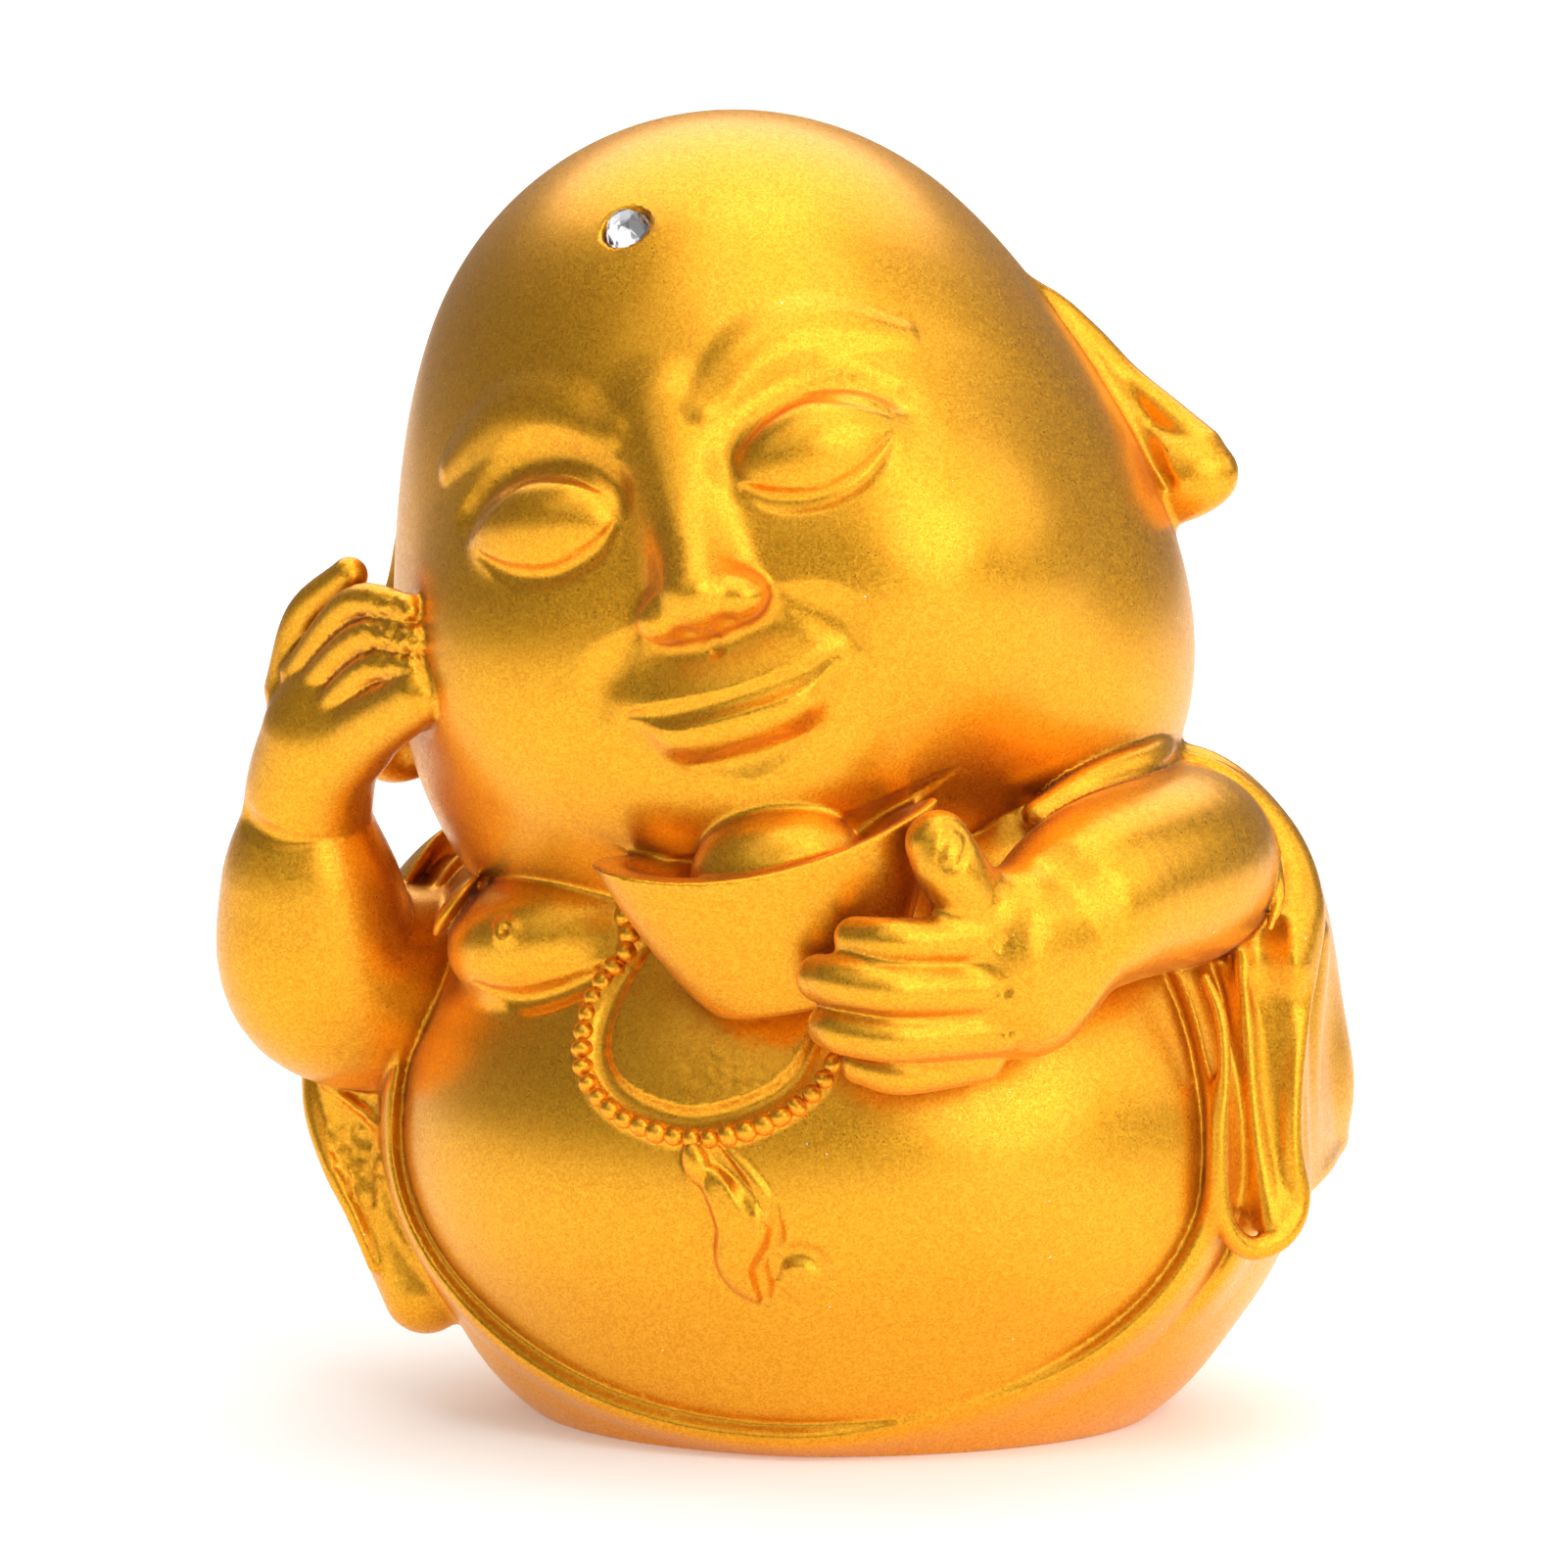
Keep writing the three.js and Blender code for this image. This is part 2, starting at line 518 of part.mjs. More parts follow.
const ingotPlace = [-1.9, -30, 48];
const ingotTurn = [4, -11.5, 0];
const ingotHalf = 13.3; // half its length at the tips
const ingotHalfWide = 7;
const ingotDepth = 13.4;
const ingotFoot = 0.42; // the foot's length as a share of the length at the tips
const ingotFlare = 0.65; // power by which its sides open out
const ingotDip = 1.9; // of the rim's middle below the tips
const ingotFillet = 0.8; // where it meets the chest and the chin

function makeIngot() {
  const ingot = new Sculpture();
  ingot.add({
    centre: [0, 0, -ingotDepth / 2],
    reach: 18,
    distance: (x, y, z) => {
      const climb = THREE.MathUtils.clamp(1 + z / ingotDepth, 0, 1.2) ** ingotFlare;
      const share = ingotFoot + (1 - ingotFoot) * climb;
      const k = Math.sqrt((x / ingotHalf) ** 2 + (y / ingotHalfWide) ** 2);
      return (k - share) * ingotHalfWide * 0.9;
    },
  });
  const rim = (x) => ingotDip * (1.2 * (x / ingotHalf) ** 2 - 1);
  const top = { centre: [0, 0, 0], reach: 40, distance: (x, y, z) => rim(x) - z };
  const foot = { centre: [0, 0, 0], reach: 40, distance: (x, y, z) => z + ingotDepth };
  ingot.cut(top, 0.3);
  ingot.cut(foot, 0.6);
  ingot.cut(blob([0, 0, 0], [10.4, 4.6, 3.4]), 0.8);
  ingot.add(blob([0.4, 0, -3], [6.6, 4.9, 4.9]), 0.7);
  return ingot;
}

// Beads strung round the neck: low knobs beside a groove, and a pendant below

const beadSpacing = 1.75;
const beadRadius = 0.95;

function makeBeads(body) {
  const channel = fromFront(body, [
    [-12, 38], [-14, 34.8], [-14.8, 31.4], [-13.8, 28.8], [-11, 27.2], [-7, 26.6], [-2.6, 27.8],
    [0.4, 29.8], [2.2, 33.4],
  ]);
  body.groove(line(channel), 1.1, 0.9);
  const string = line(fromFront(body, [
    [-12.8, 45], [-13.6, 41], [-13.2, 38], [-15.4, 35], [-16.2, 31.6], [-15.4, 28.4], [-12.4, 26.2],
    [-8, 25.2], [-4, 25.6], [0.4, 27.6], [3.2, 31], [4, 38],
  ]));
  const beads = new Sculpture();
  const count = Math.round(string.curve.getLength() / beadSpacing);
  for (let i = 0; i <= count; i++) {
    const at = string.curve.getPointAt(i / count);
    beads.add(blob(fromFront(body, [[at.x, at.z]])[0], [beadRadius, beadRadius, beadRadius]), 0.25);
  }
  return beads;
}

// A knot, and a flat leaf below it with a fold down its side
function makePendant(body) {
  const leaf = [[-6, 22.6], [-4.4, 20.6], [-3.3, 18.4], [-3.9, 16.1], [-3.4, 14.5], [-2.4, 13.3]];
  const leafLine = line(fromFront(body, leaf), [0.8, 1.6, 1.9, 1.4, 1, 0.3]);
  const edge = fromFront(body, [[-0.9, 20.4], [-0.9, 17.9], [-2.1, 15.9], [-1.9, 14.4], [-1.9, 13]]);
  body.groove(line(edge, [0.5, 1, 1, 1, 0.7]), 1, 0.9);
  const farEdge = fromFront(body, [[-7.1, 22.8], [-5.7, 19.8], [-6, 16.1], [-5, 14]]);
  body.groove(line(farEdge, [0.5, 1, 1, 0.6]), 0.8, 0.45);
  body.layer(leafLine, 0.75, 0.7);
  const fold = fromFront(body, [[-5.4, 24.4], [-4, 22.6], [-2.9, 20.8], [-2.6, 19.4]]);
  body.groove(line(fold, [0.6, 1, 1, 0.4]), 0.8, 0.55);
  const side = fromFront(body, [[-4.8, 24.8], [-3.1, 23], [-1.6, 21], [-1.2, 18.8]]);
  body.ridge(line(side, [0.5, 1, 1, 0.4]), 0.8, 0.4);
  return blob(fromFront(body, [[-6.8, 23.4]], 0.1)[0], [1.1, 0.9, 1.8], [0, -14, 0]);
}

function makeFigure() {
  const body = makeBody();
  const beads = makeBeads(body);
  const pendant = makePendant(body);
  body.add(beads, 0.3);
  body.add(pendant, 0.25);
  const figure = new Sculpture();
  figure.add(body);
  figure.add(makeLeftSleeve(), 1.4);
  figure.add(makeRightSleeve(), 1);
  figure.add(placed(makeHead(), headPlace, headTurn), 0.5);
  figure.add(makeRightArm(), 0.5);
  figure.add(placed(makeIngot(), ingotPlace, ingotTurn), ingotFillet);
  figure.add(makeLeftArm(), 0.4);
  figure.cut({ centre: [0, 0, 0], reach: 200, distance: (x, y, z) => z + floorDepth }, 0.01);
  return figure;
}

// From distances to triangles

// The box that holds a form, found by a coarse look at the ball round it
function boxOf(form) {
  const step = block * cell;
  const box = new THREE.Box3();
  const [cx, cy, cz] = form.centre;
  for (let x = cx - form.reach; x < cx + form.reach; x += step) {
    for (let y = cy - form.reach; y < cy + form.reach; y += step) {
      for (let z = cz - form.reach; z < cz + form.reach; z += step) {
        if (form.distance(x, y, z) < step * farShare) box.expandByPoint(new THREE.Vector3(x, y, z));
      }
    }
  }
  return box;
}

// Samples the distances on a cube of cells, skipping blocks that the surface can't cross
function polygonise(form) {
  const box = boxOf(form);
  const middle = box.getCenter(new THREE.Vector3()).toArray();
  const size = Math.ceil(Math.max(...box.getSize(new THREE.Vector3()).toArray()) / cell / 2) * 2 + block;
  const cubes = new MarchingCubes(size, new THREE.MeshBasicMaterial(), false, false, mostTriangles);
  const at = (i, axis) => middle[axis] + (i - size / 2) * cell;
  const far = block * cell * farShare;
  for (let k = 0; k < size; k += block) {
    for (let j = 0; j < size; j += block) {
      for (let i = 0; i < size; i += block) {
        const half = (block - 1) / 2;
        const whole = form.distance(at(i + half, 0), at(j + half, 1), at(k + half, 2));
        const skipped = Math.abs(whole) > far;
        for (let c = k; c < Math.min(k + block, size); c++) {
          for (let b = j; b < Math.min(j + block, size); b++) {
            for (let a = i; a < Math.min(i + block, size); a++) {
              const d = skipped ? whole : form.distance(at(a, 0), at(b, 1), at(c, 2));
              cubes.field[(c * size + b) * size + a] = Math.abs(d) < 1e-3 ? -1e-3 : -d;
            }
          }
        }
      }
    }
  }
  cubes.isolation = 0;
  cubes.update();
  const position = cubes.positionArray.slice(0, cubes.geometry.drawRange.count * 3);
  for (let i = 0; i < position.length; i++) {
    position[i] = (position[i] * size * cell) / 2 + middle[i % 3];
  }
  const geometry = new THREE.BufferGeometry();
  geometry.setAttribute('position', new THREE.BufferAttribute(position, 3));
  return mergeVertices(geometry, 1e-5);
}

// Joins the ends of the edge that changes the surface least, again and again, down to a number of
// triangles. care gives each place its weight.
function simplify(geometry, target, care) {
  const points = Float64Array.from(geometry.attributes.position.array);
  const faces = Array.from(geometry.index.array);
  const pointCount = points.length / 3;
  const around = Array.from({ length: pointCount }, () => []);
  const stamps = new Int32Array(pointCount);
  const gone = new Uint8Array(pointCount);
  const goneFaces = new Uint8Array(faces.length / 3);
  const quadrics = new Float64Array(pointCount * 10);
  let left = faces.length / 3;

  const normalOf = (a, b, c) => {
    const ux = points[b * 3] - points[a * 3];
    const uy = points[b * 3 + 1] - points[a * 3 + 1];
    const uz = points[b * 3 + 2] - points[a * 3 + 2];
    const vx = points[c * 3] - points[a * 3];
    const vy = points[c * 3 + 1] - points[a * 3 + 1];
    const vz = points[c * 3 + 2] - points[a * 3 + 2];
    return [uy * vz - uz * vy, uz * vx - ux * vz, ux * vy - uy * vx];
  };
  const addPlane = (v, nx, ny, nz, d, weight) => {
    const terms = [nx * nx, nx * ny, nx * nz, nx * d, ny * ny, ny * nz, ny * d, nz * nz, nz * d, d * d];
    for (let i = 0; i < 10; i++) quadrics[v * 10 + i] += weight * terms[i];
  };
  for (let f = 0; f < left; f++) {
    const corners = [faces[f * 3], faces[f * 3 + 1], faces[f * 3 + 2]];
    const [nx, ny, nz] = normalOf(...corners);
    const twiceArea = span(nx, ny, nz) + 1e-12;
    for (const v of corners) {
      const [x, y, z] = [points[v * 3], points[v * 3 + 1], points[v * 3 + 2]];
      const weight = twiceArea * care(x, y, z);
      const [px, py, pz] = [nx / twiceArea, ny / twiceArea, nz / twiceArea];
      addPlane(v, px, py, pz, -(px * x + py * y + pz * z), weight);
      addPlane(v, 1, 0, 0, -x, weight * evenness);
      addPlane(v, 0, 1, 0, -y, weight * evenness);
      addPlane(v, 0, 0, 1, -z, weight * evenness);
      around[v].push(f);
    }
  }

  // Where the joined point goes and what it costs
  const q = new Float64Array(10);
  const errorAt = (x, y, z) => (
    q[0] * x * x + 2 * q[1] * x * y + 2 * q[2] * x * z + 2 * q[3] * x + q[4] * y * y
    + 2 * q[5] * y * z + 2 * q[6] * y + q[7] * z * z + 2 * q[8] * z + q[9]
  );
  const best = [0, 0, 0];
  const price = (a, b) => {
    for (let i = 0; i < 10; i++) q[i] = quadrics[a * 10 + i] + quadrics[b * 10 + i];
    const xx = q[4] * q[7] - q[5] * q[5];
    const xy = q[2] * q[5] - q[1] * q[7];
    const xz = q[1] * q[5] - q[2] * q[4];
    const det = q[0] * xx + q[1] * xy + q[2] * xz;
    const yy = q[0] * q[7] - q[2] * q[2];
    const yz = q[1] * q[2] - q[0] * q[5];
    const zz = q[0] * q[4] - q[1] * q[1];
    best[0] = -(xx * q[3] + xy * q[6] + xz * q[8]) / det;
    best[1] = -(xy * q[3] + yy * q[6] + yz * q[8]) / det;
    best[2] = -(xz * q[3] + yz * q[6] + zz * q[8]) / det;
    return Math.max(errorAt(...best), 0);
  };

  // Cheapest edges first: a binary heap, where an entry is out of date once a stamp has moved on
  const heap = [];
  const push = (entry) => {
    let i = heap.length;
    heap.push(entry);
    while (i > 0) {
      const up = (i - 1) >> 1;
      if (heap[up].cost <= entry.cost) break;
      heap[i] = heap[up];
      i = up;
    }
    heap[i] = entry;
  };
  const pop = () => {
    const top = heap[0];
    const last = heap.pop();
    if (!heap.length) return top;
    let i = 0;
    while (2 * i + 1 < heap.length) {
      let down = 2 * i + 1;
      if (down + 1 < heap.length && heap[down + 1].cost < heap[down].cost) down++;
      if (heap[down].cost >= last.cost) break;
      heap[i] = heap[down];
      i = down;
    }
    heap[i] = last;
    return top;
  };
  const offer = (a, b) => push({ cost: price(a, b), a, b, stampA: stamps[a], stampB: stamps[b] });
  for (let f = 0; f < left; f++) {
    for (let i = 0; i < 3; i++) {
      const a = faces[f * 3 + i];
      const b = faces[f * 3 + ((i + 1) % 3)];
      if (a < b) offer(a, b);
    }
  }

  const neighbours = (v) => {
    const found = new Set();
    for (const f of around[v]) for (let i = 0; i < 3; i++) found.add(faces[f * 3 + i]);
    found.delete(v);
    return found;
  };
  // A face that turns over or shrinks to nothing forbids the join
  const spoils = (v, other, x, y, z) => around[v].some((f) => {
    const corners = [faces[f * 3], faces[f * 3 + 1], faces[f * 3 + 2]];
    if (corners.includes(other)) return false;
    const before = normalOf(...corners);
    const kept = [points[v * 3], points[v * 3 + 1], points[v * 3 + 2]];
    points.set([x, y, z], v * 3);
    const after = normalOf(...corners);
    points.set(kept, v * 3);
    const dot = before[0] * after[0] + before[1] * after[1] + before[2] * after[2];
    const sizes = span(...before) * span(...after);
    return dot < turnLimit * sizes || sizes < 1e-9;
  });

  while (left > target && heap.length) {
    const { a, b, stampA, stampB } = pop();
    if (gone[a] || gone[b] || stamps[a] !== stampA || stamps[b] !== stampB) continue;
    const [ringA, ringB] = [neighbours(a), neighbours(b)];
    let shared = 0;
    for (const v of ringA) if (ringB.has(v)) shared++;
    if (shared !== 2) continue;
    price(a, b);
    const [x, y, z] = best;
    if (spoils(a, b, x, y, z) || spoils(b, a, x, y, z)) continue;
    points.set([x, y, z], a * 3);
    for (let i = 0; i < 10; i++) quadrics[a * 10 + i] += quadrics[b * 10 + i];
    gone[b] = 1;
    for (const f of around[b]) {
      const corners = [faces[f * 3], faces[f * 3 + 1], faces[f * 3 + 2]];
      if (corners.includes(a)) {
        goneFaces[f] = 1;
        left--;
      } else {
        faces[f * 3 + corners.indexOf(b)] = a;
        around[a].push(f);
      }
    }
    for (const v of new Set([...ringA, ...ringB, a])) around[v] = around[v].filter((f) => !goneFaces[f]);
    stamps[a]++;
    for (const v of neighbours(a)) offer(a, v);
  }

  const kept = [];
  for (let f = 0; f < goneFaces.length; f++) {
    if (!goneFaces[f]) kept.push(faces[f * 3], faces[f * 3 + 1], faces[f * 3 + 2]);
  }
  const result = new THREE.BufferGeometry();
  result.setAttribute('position', new THREE.BufferAttribute(Float32Array.from(points), 3));
  result.setIndex(kept);
  const used = result.toNonIndexed();
  return mergeVertices(used, 1e-6);
}

// Moves the corners back onto the true surface, which the joins left a little
function settle(geometry, form) {
  const { array } = geometry.attributes.position;
  const step = cell / 4;
  for (let i = 0; i < array.length; i += 3) {
    const [x, y, z] = [array[i], array[i + 1], array[i + 2]];
    const d = form.distance(x, y, z);
    const slope = [
      form.distance(x + step, y, z) - form.distance(x - step, y, z),
      form.distance(x, y + step, z) - form.distance(x, y - step, z),
      form.distance(x, y, z + step) - form.distance(x, y, z - step),
    ].map((rise) => rise / (2 * step));
    const move = THREE.MathUtils.clamp(-d / Math.max(span(...slope), 0.5), -settleLimit, settleLimit);
    const steep = Math.max(span(...slope), 1e-6);
    for (let axis = 0; axis < 3; axis++) array[i + axis] += (move * slope[axis]) / steep;
  }
  return geometry;
}

// The face, the hands and the beads carry the small forms
const fineAreas = [
  { middle: [-8, -30, 66], reach: 26, weight: 5 },
  { middle: [9, -36, 38], reach: 16, weight: 4 },
  { middle: [-35, -14, 57], reach: 14, weight: 3 },
  { middle: [-10, -30, 24], reach: 18, weight: 5 },
];

function care(x, y, z) {
  let sum = 1;
  for (const { middle: [cx, cy, cz], reach, weight } of fineAreas) {
    sum += weight * bump(span(x - cx, y - cy, z - cz) / reach);
  }
  return sum;
}

// Crystal: flat-backed, with a table, a crown in two rows of facets and a short girdle

function makeCrystal() {
  const ring = (count, radius, height, shift) => Array.from({ length: count }, (_, i) => {
    const angle = ((i + shift) / count) * 2 * Math.PI;
    return new THREE.Vector3(radius * Math.cos(angle), radius * Math.sin(angle), height);
  });
  return new ConvexGeometry([
    ...ring(2 * crystalFacets, crystalDiameter / 2, 0, 0.5),
    ...ring(2 * crystalFacets, crystalDiameter / 2, crystalGirdle, 0.5),
    ...ring(crystalFacets, crystalWaist / 2, crystalWaistHeight, 0.5),
    ...ring(crystalFacets, crystalTable / 2, crystalHeight, 0),
  ]);
}

// Where the crystal's table faces: up on the forehead, on the face's own middle line
function crystalPlace(head) {
  const [away, up] = [-Math.cos(rad(crystalRise)), Math.sin(rad(crystalRise))];
  const [x, y, z] = head.meet([0, outside * away, outside * up], [0, -away, -up]);
  const facing = new THREE.Vector3(0, away, up);
  const local = new THREE.Matrix4().makeRotationFromQuaternion(
    new THREE.Quaternion().setFromUnitVectors(new THREE.Vector3(0, 0, 1), facing),
  );
  local.setPosition(new THREE.Vector3(x, y, z).multiplyScalar(hundredth));
  const world = turned(headTurn);
  world.setPosition(new THREE.Vector3(...headPlace).multiplyScalar(hundredth));
  return world.multiply(local);
}

// Joins and cuts

const kernel = await Module();
kernel.setup();

function toSolid(geometry) {
  const joined = mergeVertices(new THREE.BufferGeometry()
    .setAttribute('position', geometry.attributes.position.clone())
    .setIndex(geometry.index), 1e-5);
  return new kernel.Manifold(new kernel.Mesh({
    numProp: 3,
    vertProperties: Float32Array.from(joined.attributes.position.array),
    triVerts: Uint32Array.from(joined.index.array),
  }));
}

function toGeometry(solid) {
  const mesh = solid.getMesh();
  const geometry = new THREE.BufferGeometry();
  geometry.setAttribute('position', new THREE.BufferAttribute(mesh.vertProperties, 3));
  geometry.setIndex(new THREE.BufferAttribute(mesh.triVerts, 1));
  geometry.computeVertexNormals();
  return geometry;
}

const form = makeFigure();
const sculpted = settle(simplify(polygonise(form), figureTriangles, care), form);
sculpted.scale(hundredth, hundredth, hundredth);

const floorBlock = new THREE.BoxGeometry(2 * figureHeight, 2 * figureHeight, figureHeight);
floorBlock.translate(0, 0, -figureHeight / 2);

// The seat's cutter goes on above the skin, so that it cuts clean through it
const place = crystalPlace(makeHead());
const crystalSunk = crystalHeight - crystalStandProud;
const seatDepth = crystalSunk + crystalClearance;
const seatRadius = crystalDiameter / 2 + crystalClearance;
const cutter = seatDepth + crystalDiameter;
const seat = new THREE.CylinderGeometry(seatRadius, seatRadius, cutter, seatSides);
seat.rotateX(Math.PI / 2);
seat.translate(0, 0, cutter / 2 - seatDepth);
seat.applyMatrix4(place);

const crystal = makeCrystal();
crystal.translate(0, 0, -crystalSunk);
crystal.applyMatrix4(place);

const figureSolid = toSolid(sculpted).subtract(toSolid(floorBlock)).subtract(toSolid(seat));

const goldPaint = new THREE.MeshStandardMaterial({ color: 0xdb9a1e, roughness: 0.35, metalness: 0.8 });
const clearGlass = new THREE.MeshStandardMaterial({ color: 0xf2f5f7, roughness: 0.05, metalness: 0 });

const figure = new THREE.Mesh(toGeometry(figureSolid), goldPaint);
figure.name = 'figure';
const foreheadCrystal = new THREE.Mesh(toGeometry(toSolid(crystal)), clearGlass);
foreheadCrystal.name = 'forehead_crystal';

const budai = new THREE.Group();
budai.name = 'budai_figure';
budai.add(figure, foreheadCrystal);

export default budai;
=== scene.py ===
import math

import bmesh
import bpy
import numpy as np
from mathutils import Euler, Matrix, Vector


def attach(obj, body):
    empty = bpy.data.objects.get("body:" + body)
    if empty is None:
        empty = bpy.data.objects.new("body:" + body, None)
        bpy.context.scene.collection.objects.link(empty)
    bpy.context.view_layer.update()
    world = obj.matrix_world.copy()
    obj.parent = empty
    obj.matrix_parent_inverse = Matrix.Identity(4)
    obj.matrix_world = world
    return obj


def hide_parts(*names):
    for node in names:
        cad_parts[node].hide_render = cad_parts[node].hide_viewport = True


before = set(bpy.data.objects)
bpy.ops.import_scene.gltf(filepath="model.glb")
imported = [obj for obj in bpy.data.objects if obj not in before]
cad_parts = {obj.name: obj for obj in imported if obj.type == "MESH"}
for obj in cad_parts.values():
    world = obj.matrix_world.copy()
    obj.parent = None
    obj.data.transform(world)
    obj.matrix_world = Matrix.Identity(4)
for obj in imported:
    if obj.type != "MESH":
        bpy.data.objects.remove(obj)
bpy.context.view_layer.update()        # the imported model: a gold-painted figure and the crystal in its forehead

scene = bpy.context.scene

# The figure is sculpted again here, finer than in the solids, from the same forms. Lengths of the
# sculpture are hundredths of the figure's height, in the frame's own axes: it looks along -Y.
figureHeight = 0.09
hundredth = figureHeight / 100
sides = (-1, 1)


def linear(hexColour):
    # sRGB hex to the linear colour that a shader takes
    parts = [int(hexColour[i:i + 2], 16) / 255 for i in (1, 3, 5)]
    return (*[c / 12.92 if c <= 0.04045 else ((c + 0.055) / 1.055) ** 2.4 for c in parts], 1)


def addNode(tree, kind, settings=None, inputs=None):
    # settings are the node's own; each input is a value, or the output that it is linked to
    node = tree.nodes.new(kind)
    for name, value in (settings or {}).items():
        setattr(node, name, value)
    for name, value in (inputs or {}).items():
        if isinstance(value, bpy.types.NodeSocket):
            tree.links.new(value, node.inputs[name])
        else:
            node.inputs[name].default_value = value
    return node


def newMaterial(name):
    material = bpy.data.materials.new(name)
    material.use_nodes = True
    material.node_tree.nodes.clear()
    return material, material.node_tree


# Camera, at the photograph's angle

cameraView = {
    "azimuth": 9,  # degrees to the figure's left
    "elevation": 8,
    "distance": 0.8,
    "frameWidth": 0.10767,  # of the picture, where the figure stands
    "aside": -0.00459,  # middle of the picture from the origin
    "above": 0.04223,
    "sensor": 36,
}


def makeCamera():
    view = cameraView
    azimuth, elevation = math.radians(view["azimuth"]), math.radians(view["elevation"])
    away = Vector((
        math.sin(azimuth) * math.cos(elevation),
        -math.cos(azimuth) * math.cos(elevation),
        math.sin(elevation),
    ))
    right = Vector((math.cos(azimuth), math.sin(azimuth), 0))
    up = away.cross(right)
    aim = right * view["aside"] + up * view["above"]
    data = bpy.data.cameras.new("camera")
    data.sensor_width = view["sensor"]
    data.lens = view["sensor"] * view["distance"] / view["frameWidth"]
    camera = bpy.data.objects.new("camera", data)
    scene.collection.objects.link(camera)
    turn = Matrix((right, up, away)).transposed().to_4x4()
    camera.matrix_world = Matrix.Translation(aim + away * view["distance"]) @ turn
    scene.camera = camera
    return right, up, away


# Lights and floor

studio = {
    "lamps": {  # watts, size, and place aside, above and towards the camera, from the figure's middle
        "key_light": (3.5, 0.8, (0.46, 0.28, 0.78)),
        "top_light": (3.1, 0.9, (0.15, 0.85, 0.4)),
        "right_light": (2.0, 0.8, (0.85, 0.5, 0.2)),
        "front_light": (1.0, 0.8, (-0.3, 0.55, 0.72)),
    },
    "backWatts": 14,
    "backSize": 1.8,
    "backPlace": (0, 1.1, -0.75),
    "room": "#F6F7FA",
    "roomStrength": 0.2,
    "floor": "#FCFBF9",
    "floorGlow": 0.22,  # it is lit from below too, so shadows are faint
    "floorRadius": 5,
    "backAim": 0.7,  # how far behind the figure the back light points
}


def makeLight(name, watts, size, place, aim, directions):
    data = bpy.data.lights.new(name, "AREA")
    data.energy = watts
    data.shape = "DISK"
    data.size = size
    light = bpy.data.objects.new(name, data)
    scene.collection.objects.link(light)
    right, up, away = directions
    light.location = Vector((0, 0, figureHeight / 2)) + right * place[0] + up * place[1] + away * place[2]
    light.rotation_euler = (aim - light.location).to_track_quat("-Z", "Y").to_euler()


def makeStudio(directions):
    middle = Vector((0, 0, figureHeight / 2))
    for name, (watts, size, place) in studio["lamps"].items():
        makeLight(name, watts, size, place, middle, directions)
    # a wide one over the floor behind, so that the floor stays white all the way back
    behind = -directions[2] * studio["backAim"]
    makeLight("back_light", studio["backWatts"], studio["backSize"], studio["backPlace"], behind, directions)
    world = bpy.data.worlds.new("studio_room")
    world.use_nodes = True
    background = world.node_tree.nodes["Background"]
    background.inputs["Color"].default_value = linear(studio["room"])
    background.inputs["Strength"].default_value = studio["roomStrength"]
    scene.world = world

    # opal board of a light table: even and pale, with no gloss
    material, tree = newMaterial("opal_board")
    board = addNode(tree, "ShaderNodeBsdfPrincipled", {}, {
        "Base Color": linear(studio["floor"]),
        "Roughness": 0.9,
        "Specular IOR Level": 0.1,
        "Emission Color": linear("#FFFFFF"),
        "Emission Strength": studio["floorGlow"],
    })
    addNode(tree, "ShaderNodeOutputMaterial", {}, {"Surface": board.outputs[0]})
    shape = bmesh.new()
    bmesh.ops.create_circle(shape, cap_ends=True, segments=96, radius=studio["floorRadius"])
    data = bpy.data.meshes.new("floor")
    shape.to_mesh(data)
    shape.free()
    data.materials.append(material)
    floor = bpy.data.objects.new("floor", data)
    scene.collection.objects.link(floor)


# Forms to sculpt with. Each gives its distances from an array of places, below nothing inside it,
# and a ball that holds it. A distance past the bound needn't be worked out.

def length(rows):
    return np.sqrt(np.einsum("...i,...i->...", rows, rows))


def blendMin(a, b, width):
    overlap = np.maximum(width - np.abs(a - b), 0) / width
    return np.minimum(a, b) - overlap * overlap * width / 4


def blendMax(a, b, width):
    return -blendMin(-a, -b, width)


def rise(share):
    share = np.clip(share, 0, 1)
    return share * share * (3 - 2 * share)


def bump(share):
    return np.maximum(1 - share * share, 0) ** 2


def turned(degrees):
    return np.array(Euler([math.radians(angle) for angle in degrees], "XYZ").to_matrix())


class Form:
    def __init__(self, centre, reach, rule):
        self.centre = np.array(centre, float)
        self.reach = reach
        self.rule = rule

    def distance(self, places, bound=np.inf):
        return self.rule(places)


class Blob:
    # an ellipsoid, turned by degrees about X, then Y, then Z
    def __init__(self, centre, radii, turn=(0, 0, 0)):
        self.centre = np.array(centre, float)
        self.radii = np.array(radii, float)
        self.turn = turned(turn)
        self.reach = self.radii.max()

    def distance(self, places, bound=np.inf):
        inside = (places - self.centre) @ self.turn / self.radii
        share = length(inside)
        slope = length(inside / self.radii)
        return np.where(slope > 1e-9, share * (share - 1) / np.maximum(slope, 1e-9), -self.radii.min())


